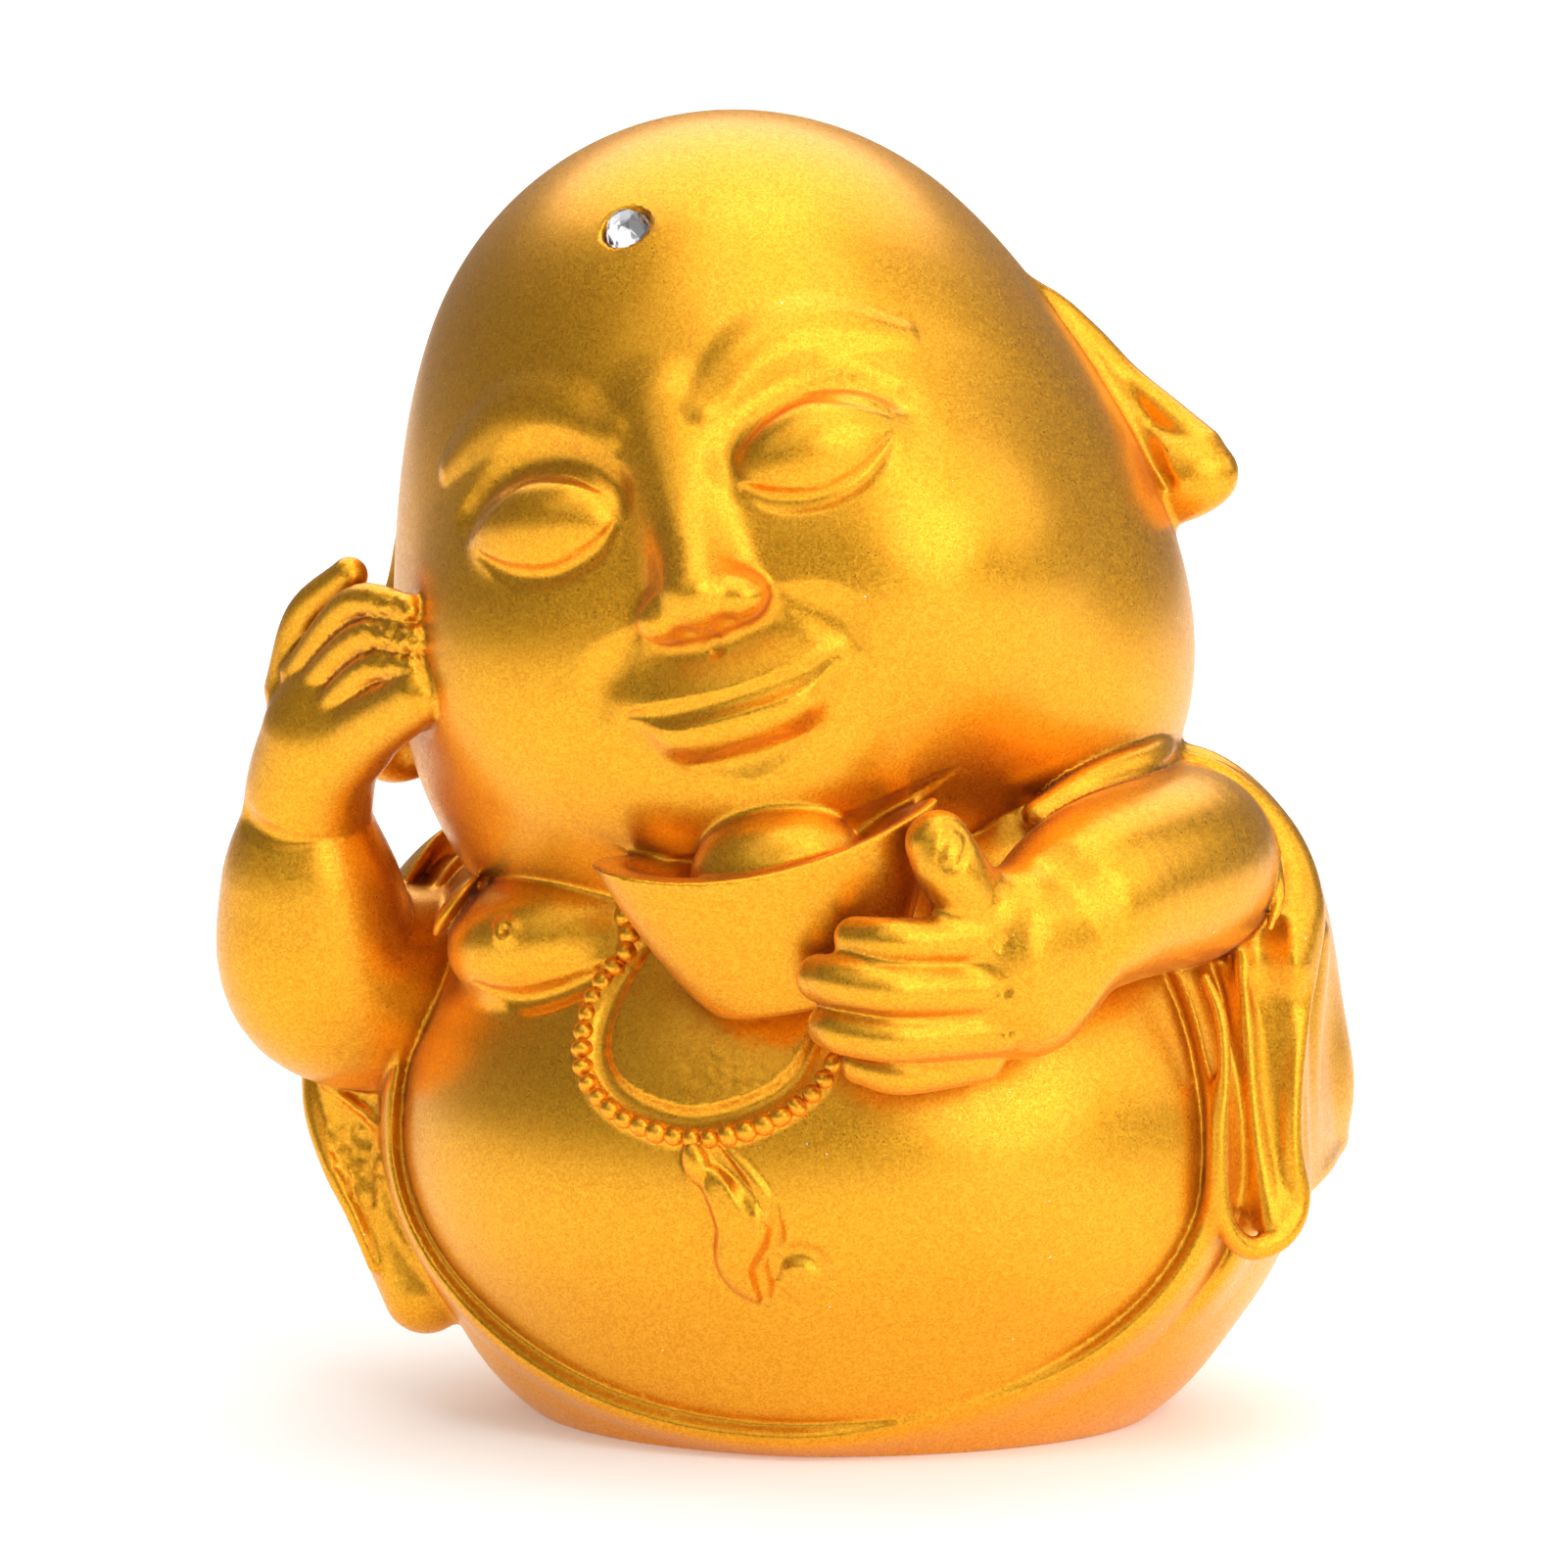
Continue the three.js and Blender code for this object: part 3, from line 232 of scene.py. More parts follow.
class Line:
    # a smooth line through points, with a size at each, kept as short straight spans
    def __init__(self, points, sizes=1, spans=8):
        points = np.array(points, float)
        sizes = np.broadcast_to(np.array(sizes, float), len(points))
        stops = np.column_stack([points, sizes])
        before = np.vstack([2 * stops[0] - stops[1], stops, 2 * stops[-1] - stops[-2]])
        share = np.arange(spans + 1)[:, None] / spans
        self.stretches = []
        for a, b, c, d in zip(before, before[1:], before[2:], before[3:]):
            bend = 2 * a - 5 * b + 4 * c - d
            twist = 3 * b - a - 3 * c + d
            self.stretches.append(b + 0.5 * (share * (c - a) + share ** 2 * bend + share ** 3 * twist))
        self.rows = np.vstack([*[rows[:-1] for rows in self.stretches], stops[-1:]])
        self.centre, self.reach = self.ball(self.rows)
        self.reach += self.rows[:, 3].max()

    def ball(self, rows):
        low, high = rows[:, :3].min(axis=0), rows[:, :3].max(axis=0)
        return (low + high) / 2, length(high - low) / 2

    def nearest(self, places, asShare, bound):
        # the least distance from it, less the size there or as a share of the size there, and that size
        found = np.array(np.broadcast_to(bound, len(places)), float)
        sizes = np.zeros(len(places))
        for rows in self.stretches:
            centre, reach = self.ball(rows)
            least = np.maximum(length(places - centre) - reach, 0)
            largest = rows[:, 3].max()
            near = np.flatnonzero((least / largest if asShare else least - largest) < found)
            for a, b in zip(rows, rows[1:]):
                span = b - a
                offset = places[near] - a[:3]
                along = np.clip(offset @ span[:3] / max(span[:3] @ span[:3], 1e-9), 0, 1)
                away = length(offset - along[:, None] * span[:3])
                size = a[3] + along * span[3]
                gap = away / size if asShare else away - size
                closer = gap < found[near]
                found[near[closer]] = gap[closer]
                sizes[near[closer]] = size[closer]
        return found, sizes


class Tube(Line):
    # a round bar along a smooth line, with a radius at each of its points
    def distance(self, places, bound=np.inf):
        return self.nearest(places, False, bound)[0]


def spot(place):
    # a line of no length, for a round dimple or knob
    return Line([place, place], spans=1)


class Sculpture:
    # what a sculptor does to a form, in order: adds to it, cuts it, draws grooves and ridges on it
    outside = 60  # from here a place seen from the front or the back is looked for

    def __init__(self):
        self.steps = []
        self.centre = None
        self.reach = 0

    def add(self, shape, blend=0.4):
        if self.centre is None:
            self.centre = shape.centre
        self.reach = max(self.reach, length(shape.centre - self.centre) + shape.reach + blend)

        def step(d, places):
            near = length(places - shape.centre) - shape.reach <= d + blend
            if near.any():
                d[near] = blendMin(d[near], shape.distance(places[near], d[near] + blend), blend)
        self.steps.append(step)

    def cut(self, shape, blend=0.4):
        def step(d, places):
            near = length(places - shape.centre) - shape.reach <= blend - d
            if near.any():
                d[near] = blendMax(d[near], -shape.distance(places[near], blend - d[near]), blend)
        self.steps.append(step)

    def groove(self, path, width, depth):
        # the line's sizes are shares of the width and the depth
        def step(d, places):
            near = (np.abs(d) < 2 * width) & (length(places - path.centre) < path.reach + width)
            if near.any():
                gap, size = path.nearest(places[near], True, width)
                d[near] += depth * size * bump(gap / width)
        self.steps.append(step)

    def ridge(self, path, width, height):
        self.groove(path, width, -height)

    def layer(self, path, height, edge=0.5):
        # a flat raised strip along a line; the line's sizes are half its width
        def step(d, places):
            near = (np.abs(d) < 3) & (length(places - path.centre) < path.reach + edge)
            if near.any():
                gap = path.nearest(places[near], False, edge)[0]
                d[near] -= height * rise(0.5 - gap / edge)
        self.steps.append(step)

    def crumple(self, middle, reach, depth, wave):
        # fine uneven dents, as where paint has gathered over rough clay, dying away from the middle
        middle = np.array(middle, float)

        def step(d, places):
            offset = places - middle
            near = (np.abs(d) < 4 * depth + wave) & (length(offset) < reach)
            if near.any():
                waves = offset[near] * 2 * math.pi / wave
                waves = waves + 1.4 * np.sin(0.6 * waves[:, [1, 2, 0]] + (0.4, 1.9, 3.1))
                dents = np.sin(waves).prod(axis=1) + 0.4 * np.sin(2.3 * waves[:, [2, 0, 1]]).prod(axis=1)
                d[near] += depth * bump(length(offset[near]) / reach) * dents
        self.steps.append(step)

    def thin(self, thickness):
        # takes a skin off all of it
        def step(d, places):
            d += thickness
        self.steps.append(step)

    def distance(self, places, bound=np.inf):
        d = np.full(len(places), 1000.0)
        for step in self.steps:
            step(d, places)
        return d

    def meet(self, starts, way, lift=0):
        # where straight ways from these places first meet the form, raised by lift
        gone = np.zeros(len(starts))
        for _ in range(80):
            gap = self.distance(starts + gone[:, None] * way) - lift
            if (gap < 0.01).all():
                break
            gone += np.where(gap < 0.01, 0, gap * 0.8)
        return starts + gone[:, None] * way

    def fromFront(self, points, lift=0):
        # places given by their x and z, carried from the front onto the form as it is by then
        starts = np.array([(x, -self.outside, z) for x, z in points], float)
        return self.meet(starts, np.array([0, 1, 0]), lift)

    def fromBack(self, points, lift=0):
        starts = np.array([(x, self.outside, z) for x, z in points], float)
        return self.meet(starts, np.array([0, -1, 0]), lift)


class Placed:
    # a form made in its own frame, turned and then moved to its place
    def __init__(self, form, place, turn):
        self.form = form
        self.place = np.array(place, float)
        self.turn = turned(turn)
        self.centre = self.turn @ form.centre + self.place
        self.reach = form.reach

    def distance(self, places, bound=np.inf):
        return self.form.distance((places - self.place) @ self.turn, bound)


# Head, in its own frame: origin at its middle, the face looks along -Y

headPose = {
    "place": (-7.2, -4, 70.7),
    "turn": (-6, -17, -1),  # chin up, leaning to its right, turned to its right
}


def makeHead():
    head = Sculpture()
    head.add(Blob([0, 0.5, 2], [24.9, 26, 26.3]))
    head.add(Blob([0, -1, -13.5], [29.2, 24, 20.5]), 14)
    head.add(Blob([0, -17.5, -21.5], [8.5, 6.5, 6]), 7)
    for side in sides:
        head.add(Blob([side * 12.5, -15.5, -9.5], [9, 8.5, 9]), 8)
        head.add(Blob([side * 16.6, 2, -21], [9.9, 13, 11]), 8)

    def faceLine(points, sizes, side=1):
        return Line(head.fromFront([(side * x, z) for x, z in points]), sizes)

    def faceBlob(x, z, sunk, radii, turn=(0, 0, 0)):
        return Blob([x, head.fromFront([(x, z)])[0][1] + sunk, z], radii, turn)

    bridge, middle, tip = head.fromFront([(0, 4.5), (0, -2.5), (0, -8.6)])[:, 1]
    for side in sides:
        head.groove(faceLine([(5, 1), (10.5, 3.6), (16.5, 2.2)], [0.7, 1, 0.5], side), 4, 1.2)
    head.add(Tube([[0, bridge + 2.4, 5.4], [0, middle + 0.4, -2.5], [0, tip - 1.8, -8]], [2, 2, 2.9]), 3.5)
    for side in sides:
        head.add(faceBlob(side * 3.2, -9.2, -0.2, [1.9, 2.1, 1.7]), 1.4)
        head.add(faceBlob(side * 10.5, 0, 1.3, [6, 3.2, 3.7], (0, -side * 4, side * 20)), 1.8)
        brow = [(3.6, 5.2), (7.4, 7.9), (12, 8.9), (18, 6.4)]
        head.ridge(faceLine(brow, [0.6, 1, 1, 0.5], side), 3.2, 0.6)
        lidEdge = [(4.9, -1.5), (7.2, -3.1), (10.4, -3.8), (13.6, -3), (16.2, -0.8)]
        head.groove(faceLine(lidEdge, [0.4, 1, 1, 1, 0.4], side), 1.1, 0.85)
        lidFold = [(5.4, 1.4), (7.6, 3), (10.6, 3.7), (13.6, 2.9), (16.4, 0.9)]
        head.groove(faceLine(lidFold, [0.4, 0.9, 1, 0.9, 0.4], side), 1.2, 0.4)
        head.groove(faceLine([(5.6, -9.6), (8.8, -12.2), (10.6, -15.6)], [0.3, 1, 0.1], side), 2.4, 0.5)
        head.cut(faceBlob(side * 1.6, -10.9, -0.5, [0.8, 1.1, 0.6]), 0.5)
    head.groove(faceLine([(0, -11.8), (0, -13.6)], [0.7, 0.3]), 1.2, 0.4)
    head.add(faceBlob(0, -15, 0.9, [7.4, 2.2, 2.1]), 2.4)
    head.add(faceBlob(0, -17.5, 0.8, [5.8, 2.4, 2.2]), 2.4)
    mouth = [(-8.6, -14.9), (-4.8, -16), (0, -16.3), (4.8, -16), (8.6, -14.9)]
    head.groove(faceLine(mouth, [0.15, 1, 1, 1, 0.15]), 1.1, 0.9)
    head.groove(faceLine([(-5, -19.9), (0, -20.6), (5, -19.9)], [0.1, 1, 0.1]), 2, 0.5)
    chinFold = [(-14, -25), (-7.6, -27), (0, -27.6), (7.6, -27), (14, -25)]
    head.groove(faceLine(chinFold, [0.05, 0.8, 1, 0.8, 0.05]), 2, 0.8)

    for side in sides:
        head.add(makeEar(side), 1)
    for height in (-9, -15):  # folds of the nape
        roll = head.fromBack([(-13, height + 1.5), (0, height), (13, height + 1.5)])
        head.groove(Line(roll, [0.3, 1, 0.3]), 1.8, 0.8)
    return head


def makeEar(side):
    # a long ear: a low rolled rim that runs down into a heavy lobe turned outwards
    def out(points):
        return [(side * x, y, z) for x, y, z in points]
    fin, lobe = out([(26.8, 3.6, -2), (31.6, 3, -8.4 if side > 0 else -11.4)])
    ear = Sculpture()
    ear.add(Blob(fin, [2.9, 2.1, 9.4], (0, -side * 18, side * 10)))
    ear.add(Blob(lobe, [4.2, 2.8, 3.2], (0, side * 12, 0)), 3)
    rim = out([
        (23.4, 1.8, 9), (25.5, 3, 7), (27.4, 4, 3.6), (29.2, 4.2, 0), (31.4, 3.9, -3.4), (33.4, 3.3, -6.6),
    ])
    ear.add(Tube(rim, [0.5, 0.8, 1, 1.1, 1.3, 1.6]), 0.8)
    shell = out([(25.4, 1.6, 5), (26.8, 2.2, 1), (28.6, 1.6, -4), (30.6, 0.8, -8.6)])
    ear.groove(Line(shell, [0.7, 1, 1, 0.5]), 2, 1)
    return ear


# Trunk, bare in front

def makeTrunk():
    trunk = Sculpture()
    trunk.add(Blob([0, -2, 21.5], [34.6, 29.6, 26.5]))
    trunk.add(Blob([-0.7, -2, 7], [25.2, 22.5, 11]), 6)
    trunk.add(Blob([0, 4, 33], [27, 19, 16]), 8)
    trunk.add(Blob([20.6, 0, 36], [13, 14, 11.6]), 5)
    trunk.add(Blob([-24, 4, 30.6], [12.5, 13, 11]), 5)
    trunk.add(Blob([-3, -9, 41], [19, 13, 9]), 6)
    trunk.add(Blob([-19.4, -15.6, 38], [9, 7.6, 5.6], (0, -14, 0)), 2)
    trunk.add(Blob([14, -14.5, 41.6], [10.5, 8, 7]), 2)
    underBreast = trunk.fromFront([(-25.4, 34.6), (-21.4, 33.6), (-16.4, 35.3), (-12.4, 38)])
    trunk.groove(Line(underBreast, [0.2, 1, 1, 0.5]), 1.2, 0.9)
    nipple = spot(trunk.fromFront([(-22.6, 39)])[0])
    trunk.ridge(nipple, 1.5, 0.5)
    trunk.groove(nipple, 0.7, 0.6)
    return trunk


# Robe: a layer on the trunk, open in front. Its edge is an egg seen from the front. A second layer,
# the cloak, lies over it.

robe = {
    "openingMiddle": (-1.6, 22),  # x and z of the opening's widest place
    "openingHalf": 31,
    "openingBelow": 19.4,
    "openingAbove": 31,
    "openingDepth": -4,  # y behind which the robe goes all the way round
    "openingCorner": 2,  # blend where the opening ends
    "thickness": 0.55,
    "hemAt": 1.3,  # past the opening
    "hemRoll": 0.8,  # of the edge above the robe
    "hemWidth": 1.7,  # half of it
    "secondAt": 3.7,
    "secondRoll": 0.85,  # of a thinner fold beside it, that dies away lower down
    "secondWidth": 1.2,
    "secondFrom": (7, 15),  # z between which it grows
    "softMiddle": (13, 0),  # x and z of the place where the hem sinks into the robe
    "softReach": 14,
    "softCloth": 0.6,  # share of the robe's thickness lost there, and of the hem's roll
    "softHem": 0.8,
    "cloakThickness": 2.2,  # of the second layer, over the robe
    "cloakInset": 5,  # of its edge from the robe's
    "cloakHem": 14.6,  # z of its lower edge at the right side
    "cloakHemSlope": (0.13, 0.12),  # by which that rises to the left and to the back
    "cloakCorner": 1.5,
    "cloakRoll": 0.35,
    "cloakRollAt": 1,
    "cloakRollWidth": 1.4,
}


def pastOpening(places):
    # how far outside the opening a place is
    x, y, z = places.T
    middleX, middleZ = robe["openingMiddle"]
    tall = np.where(z < middleZ, robe["openingBelow"], robe["openingAbove"])
    u = (x - middleX) / robe["openingHalf"]
    v = (z - middleZ) / tall
    share = np.sqrt(u * u + v * v)
    slope = np.sqrt((u / robe["openingHalf"]) ** 2 + (v / tall) ** 2)
    egg = np.where(slope > 1e-9, share * (share - 1) / np.maximum(slope, 1e-9), -tall)
    return blendMax(egg, y - robe["openingDepth"], robe["openingCorner"])


def clothThickness(places):
    # a slim rolled hem against the belly, a thinner fold beside it, then plain cloth
    x, y, z = places.T
    past = pastOpening(places)
    softX, softZ = robe["softMiddle"]
    soft = bump(np.sqrt((x - softX) ** 2 + (z - softZ) ** 2) / robe["softReach"]) * (y < 0)
    under = robe["thickness"] * rise(past / 1.1 + 0.4) * (1 - robe["softCloth"] * soft)
    hemShare = (past - robe["hemAt"]) / robe["hemWidth"]
    roll = robe["hemRoll"] * bump(hemShare) * (1 - robe["softHem"] * soft)
    low, high = robe["secondFrom"]
    secondShare = (past - robe["secondAt"]) / robe["secondWidth"]
    second = robe["secondRoll"] * bump(secondShare) * rise((z - low) / (high - low))
    slopeX, slopeY = robe["cloakHemSlope"]
    hem = robe["cloakHem"] + slopeY * y + slopeX * np.maximum(x, 0)
    edge = blendMin(past - robe["cloakInset"], z - hem, robe["cloakCorner"])
    edgeShare = (edge - robe["cloakRollAt"]) / robe["cloakRollWidth"]
    over = robe["cloakThickness"] * rise(edge / 1.6 + 0.5) + robe["cloakRoll"] * bump(edgeShare)
    return under + roll + second + over


backFolds = {
    "heights": (44, 30, 16),  # of the top, the middle and the foot of each
    "across": ((-14, -24, -27), (-5, -9, -12), (4, 6, 8), (13, 21, 25)),  # x there, for each fold
    "width": 2.4,
    "depth": 0.9,
}

navel = {
    "middle": (0.9, 15),
    "swell": 2.6,  # radius of the low mound that it lies on
    "swellHeight": 0.35,
    "radius": 1.9,  # of the arc of its upper edge
    "angles": (3.1, -0.5),  # where that begins and ends, in radians
    "width": 1,
    "depth": 0.75,
}


def makeBody():
    trunk = makeTrunk()
    thickest = 3  # of the cloth, and how far out it is worked out twice over

    def dressed(places):
        d = trunk.distance(places)
        near = d < 2 * thickest
        d[~near] -= thickest
        d[near] -= clothThickness(places[near])
        return d
    body = Sculpture()
    body.add(Form(trunk.centre, trunk.reach + robe["thickness"] + robe["cloakThickness"] + 1, dressed))
    body.add(Blob([-6, -2, 50], [16, 14, 8]), 3)  # neck, and the cloth behind it
    drape = [(31, 3, 38), (33.4, 2, 31), (34.6, 1.5, 25), (33.6, 1.5, 20.5)]  # cloth behind the left sleeve
    body.add(Tube(drape, [3, 3.4, 3.6, 3]), 2.5)
    underCollar = [(15, -17.5, 46.6), (19.4, -15.6, 48.2), (23.6, -9, 49.6)]
    body.add(Tube(underCollar, 2.8), 1)
    collar = [
        (17, -21, 48.4), (21.2, -17.6, 50.6), (24.4, -11.5, 51.6), (22, 2, 52), (15, 13, 52.5), (0, 18, 52),
        (-16, 15, 46.5), (-26, 8, 42.5), (-31, 0, 39.6), (-33, -4, 36),
    ]
    body.add(Tube(collar, [1.2, 1.6, 1.6, 1.6, 1.8, 1.8, 1.8, 1.6, 1.4, 1]), 0.8)
    for across in backFolds["across"]:
        fold = body.fromBack(list(zip(across, backFolds["heights"])))
        body.groove(Line(fold, [0.4, 1, 0.8]), backFolds["width"], backFolds["depth"])
    middle = np.array(navel["middle"])
    body.ridge(spot(body.fromFront([middle])[0]), navel["swell"], navel["swellHeight"])
    angles = np.linspace(*navel["angles"], 7)
    arc = middle + navel["radius"] * np.column_stack([np.cos(angles), np.sin(angles)])
    edge = Line(body.fromFront(arc), [0.6, 0.8, 1, 1, 1, 0.8, 0.6])
    body.groove(edge, navel["width"], navel["depth"])
    return body


def makeLeftSleeve():
    # a loop of cloth round the upper arm, and its mouth hanging as a hollow pocket with a fold in it
    sleeve = Sculpture()
    band = [(20, -5, 51.4), (27.5, -5, 49.6), (32.6, -7, 45.2), (34.8, -9.4, 40.4), (33.8, -12, 36.4)]
    sleeve.add(Tube(band, [1, 1.8, 2.2, 2.4, 3]))
    drop = [(33.4, -10, 39), (33.2, -12, 32), (33.1, -12.8, 25), (33.4, -13.4, 19.6)]
    sleeve.add(Tube(drop, [3, 3.2, 3.4, 3.4]), 1.5)
    sleeve.add(Tube([(33.6, -5, 37), (33, -7.4, 29), (32.6, -9, 20.5)], [3.6, 3.7, 3.5]), 1.5)
    hollow = sleeve.fromFront([(33.2, 39), (33.3, 34), (33.2, 27), (33.4, 21), (33.6, 18.4)])
    sleeve.groove(Line(hollow, [0.8, 1, 1, 1, 0.7]), 2.8, 1.5)
    fold = sleeve.fromFront([(31.4, 37.4), (32, 31.5), (32.6, 25.7), (33.4, 20.4), (34, 17.6)], 0.3)
    sleeve.add(Tube(fold, [0.4, 0.55, 0.6, 0.9, 1.3]), 1.3)
    rim = [
        (22, -7.4, 51.6), (28.8, -7, 49.9), (33.8, -8, 45.4), (36, -10, 39.7), (36.1, -12, 35.4),
        (35.6, -14.2, 28.8), (35.5, -15, 23.1), (36, -14.8, 19), (35, -16, 16.6), (32.8, -17.3, 15.7),
        (31.2, -18.2, 17.1), (30.5, -18.6, 20.1), (30.5, -18.4, 24.6), (30.7, -18, 29.2), (30.3, -17.6, 33.2),
        (29.1, -17.2, 36),
    ]
    sleeve.add(Tube(rim, [0.7, 0.9, 0.9, 0.8, 0.7, 0.7, 0.75, 0.9, 1, 1, 0.9, 0.8, 0.65, 0.6, 0.6, 0.5]), 0.6)
    innerRim = [(22, -9, 50.6), (28.8, -9, 49.2), (32.6, -11, 45.6), (34, -13, 41.8), (33.6, -14.4, 39.4)]
    sleeve.add(Tube(innerRim, [0.6, 0.8, 0.8, 0.7, 0.4]), 0.6)
    return sleeve


def makeRightSleeve():
    # a lobe of cloth below the elbow, with a hollow in front that narrows downwards inside a thick rim
    sleeve = Sculpture()
    drop = [(-35.6, -2.5, 26), (-35.3, -3, 19.6), (-33.6, -4, 14), (-31.8, -6, 8.6)]
    sleeve.add(Tube(drop, [5.8, 5.2, 4.4, 3.4]), 1)
    hollow = sleeve.fromFront([(-37, 24), (-36.8, 20), (-35.6, 15.6)])
    sleeve.groove(Line(hollow, [1.2, 0.9, 0.2]), 2.6, 1.7)
    rim = [(-41, -4, 25.5), (-40.4, -5.6, 21.8), (-38.8, -7.2, 18), (-37, -7.8, 14.6), (-35.4, -8, 10.8)]
    sleeve.add(Tube(rim, [0.9, 0.9, 0.8, 0.7, 0.6]), 1)
    tuck = sleeve.fromFront([(-39.6, 24.6), (-36.6, 22.6), (-33.4, 20.2)], 0.1)
    sleeve.add(Tube(tuck, [0.4, 0.6, 0.5]), 0.5)
    sleeve.crumple((-35.8, -7, 19.6), 5, 0.18, 2.4)
    return sleeve


def makeFinger(points, radius):
    return Tube(points, [radius] * (len(points) - 1) + [radius * 0.94])


def makeLeftArm():
    # it comes forward round the belly and carries the ingot in its hand
    arm = Sculpture()
    arm.add(Tube([(21, -2, 42), (26.6, -12.6, 43.6), (22.3, -24, 43.1), (19, -29, 41)], [8, 7.5, 7, 5.9]), 1)
    hand = Sculpture()
    hand.add(Blob([17.2, -31.2, 38.6], [6.2, 4.8, 6.9], (0, -8, 22)), 1)
    for points, radius in (
        ([(15.6, -34, 41), (9.4, -37.4, 41.3), (5.8, -36, 41.2)], 1.8),
        ([(15.6, -34.4, 37.4), (9.4, -38, 37.8), (5.4, -37.6, 38.2), (3.2, -36, 38.2)], 2),
        ([(15.6, -34, 34.2), (9.4, -37.4, 34.1), (5.4, -36.8, 34.4), (3.8, -35.4, 34.6)], 1.85),
        ([(14.6, -32.4, 31.8), (9.2, -35.2, 31.2), (6, -34.2, 31.6)], 1.7),
    ):
        hand.add(makeFinger(points, radius), 0.9)
    arm.add(hand, 2.2)
    thumb = [(16.4, -30.6, 41.4), (13.9, -33.8, 44.2), (12.6, -35, 46.4), (11.7, -35, 48.2)]
    arm.add(Tube(thumb, [2.6, 2.7, 2.7, 2.5]), 1.6)
    angles = np.radians([100, 20, -60, -140, 100])
    nail = np.array([13, 48.3]) + np.column_stack([1.05 * np.cos(angles), 1.6 * np.sin(angles)])
    arm.groove(Line(arm.fromFront(nail)), 0.5, 0.2)
    for knuckle in arm.fromFront([(16.7, 41), (16.8, 37.6), (16.95, 34.5)]):
        arm.groove(spot(knuckle), 0.7, 0.6)
    wrist = arm.fromFront([(20.2, 46.4), (22.2, 43.6), (22.4, 40), (21, 35.6)])
    arm.groove(Line(wrist, [0.6, 1, 1, 0.4]), 4.2, 0.7)
    return arm


def makeRightArm():
    # raised, with the hand at the cheek
    arm = Sculpture()
    upper = [
        (-24, 2, 33), (-32, -3, 31.6), (-38.4, -8.4, 33.2), (-39.6, -10.6, 39.6), (-39.6, -12, 44.8),
        (-39, -13.4, 48.6), (-38, -14.8, 52),
    ]
    arm.add(Tube(upper, [6.8, 7.8, 8.1, 7, 5.2, 4.9, 4.6]), 1)
    crease = arm.fromFront([(-43.6, 45.8), (-40, 44.6), (-36, 44.8)])
    arm.groove(Line(crease, [1, 0.6, 0.1]), 1.6, 0.5)
    hand = Sculpture()
    hand.add(Blob([-36.6, -16.2, 53.6], [5, 3.4, 4.6], (0, 35, -20)))
    hand.add(Tube([(-38, -14.8, 49.8), (-33.6, -18.6, 53.6), (-28.9, -22.4, 56.6)], [3.6, 3, 2.4]), 1.2)
    for points, radius in (
        ([(-41, -13.6, 55.6), (-39.2, -14.5, 61.2), (-35.4, -16.4, 64.6)], 1.6),
        ([(-39.6, -15.4, 57), (-34.6, -19, 62.8), (-29.8, -21.8, 62.8)], 1.4),
        ([(-38.8, -16.4, 55.6), (-33.8, -20, 60.4), (-29.2, -22.6, 60.6)], 1.4),
        ([(-37.8, -17.4, 53.8), (-33, -20.8, 58.2), (-29.4, -22.8, 58.6)], 1.35),
    ):
        hand.add(makeFinger(points, radius), 0.35)
    hand.crumple((-30.6, -22, 60.8), 5.6, 0.22, 1.9)
    arm.add(hand, 1.4)
    return arm


# Boat-shaped ingot, in its own frame: origin midway between its tips

ingotSizes = {
    "place": (-1.9, -30, 48),
    "turn": (4, -11.5, 0),
    "half": 13.3,  # half its length at the tips
    "halfWide": 7,
    "depth": 13.4,
    "foot": 0.42,  # the foot's length as a share of the length at the tips
    "flare": 0.65,  # power by which its sides open out
    "dip": 1.9,  # of the rim's middle below the tips
    "slack": 0.9,  # its sides slope, so their true distance is this much less
    "fillet": 0.8,  # where it meets the chest and the chin
    "basin": [10.4, 4.6, 3.4],  # half sizes of the hollow in its top
    "domeAt": [0.4, 0, -3],  # the dome that rises out of it
    "dome": [6.6, 4.9, 4.9],
}


def makeIngot():
    sizes = ingotSizes

    def sidesOf(places):
        x, y, z = places.T
        climb = np.clip(1 + z / sizes["depth"], 0, 1.2) ** sizes["flare"]
        share = sizes["foot"] + (1 - sizes["foot"]) * climb
        oval = np.sqrt((x / sizes["half"]) ** 2 + (y / sizes["halfWide"]) ** 2)
        return (oval - share) * sizes["halfWide"] * sizes["slack"]

    def aboveRim(places):
        x, y, z = places.T
        return sizes["dip"] * (1.2 * (x / sizes["half"]) ** 2 - 1) - z
    ingot = Sculpture()
    ingot.add(Form([0, 0, -sizes["depth"] / 2], 18, sidesOf))
    ingot.cut(Form([0, 0, 0], 40, aboveRim), 0.3)
    ingot.cut(Form([0, 0, 0], 40, lambda places: places[:, 2] + sizes["depth"]), 0.6)
    ingot.cut(Blob([0, 0, 0], sizes["basin"]), 0.8)
    ingot.add(Blob(sizes["domeAt"], sizes["dome"]), 0.7)
    return ingot


# Beads strung round the neck, beside a groove, and a pendant below

beadSizes = {
    "spacing": 1.4,
    "radius": 0.8,
    "unevenness": 0.16,
    "string": [
        (-12.8, 45), (-13.6, 41), (-13.2, 38), (-15.4, 35), (-16.2, 31.6), (-15.4, 28.4), (-12.4, 26.2),
        (-8, 25.2), (-4, 25.6), (0.4, 27.6), (3.2, 31), (4, 38),
    ],
    "channel": [
        (-12, 38), (-14, 34.8), (-14.8, 31.4), (-13.8, 28.8), (-11, 27.2), (-7, 26.6), (-2.6, 27.8),
        (0.4, 29.8), (2.2, 33.4),
    ],
    "seed": 7,
}

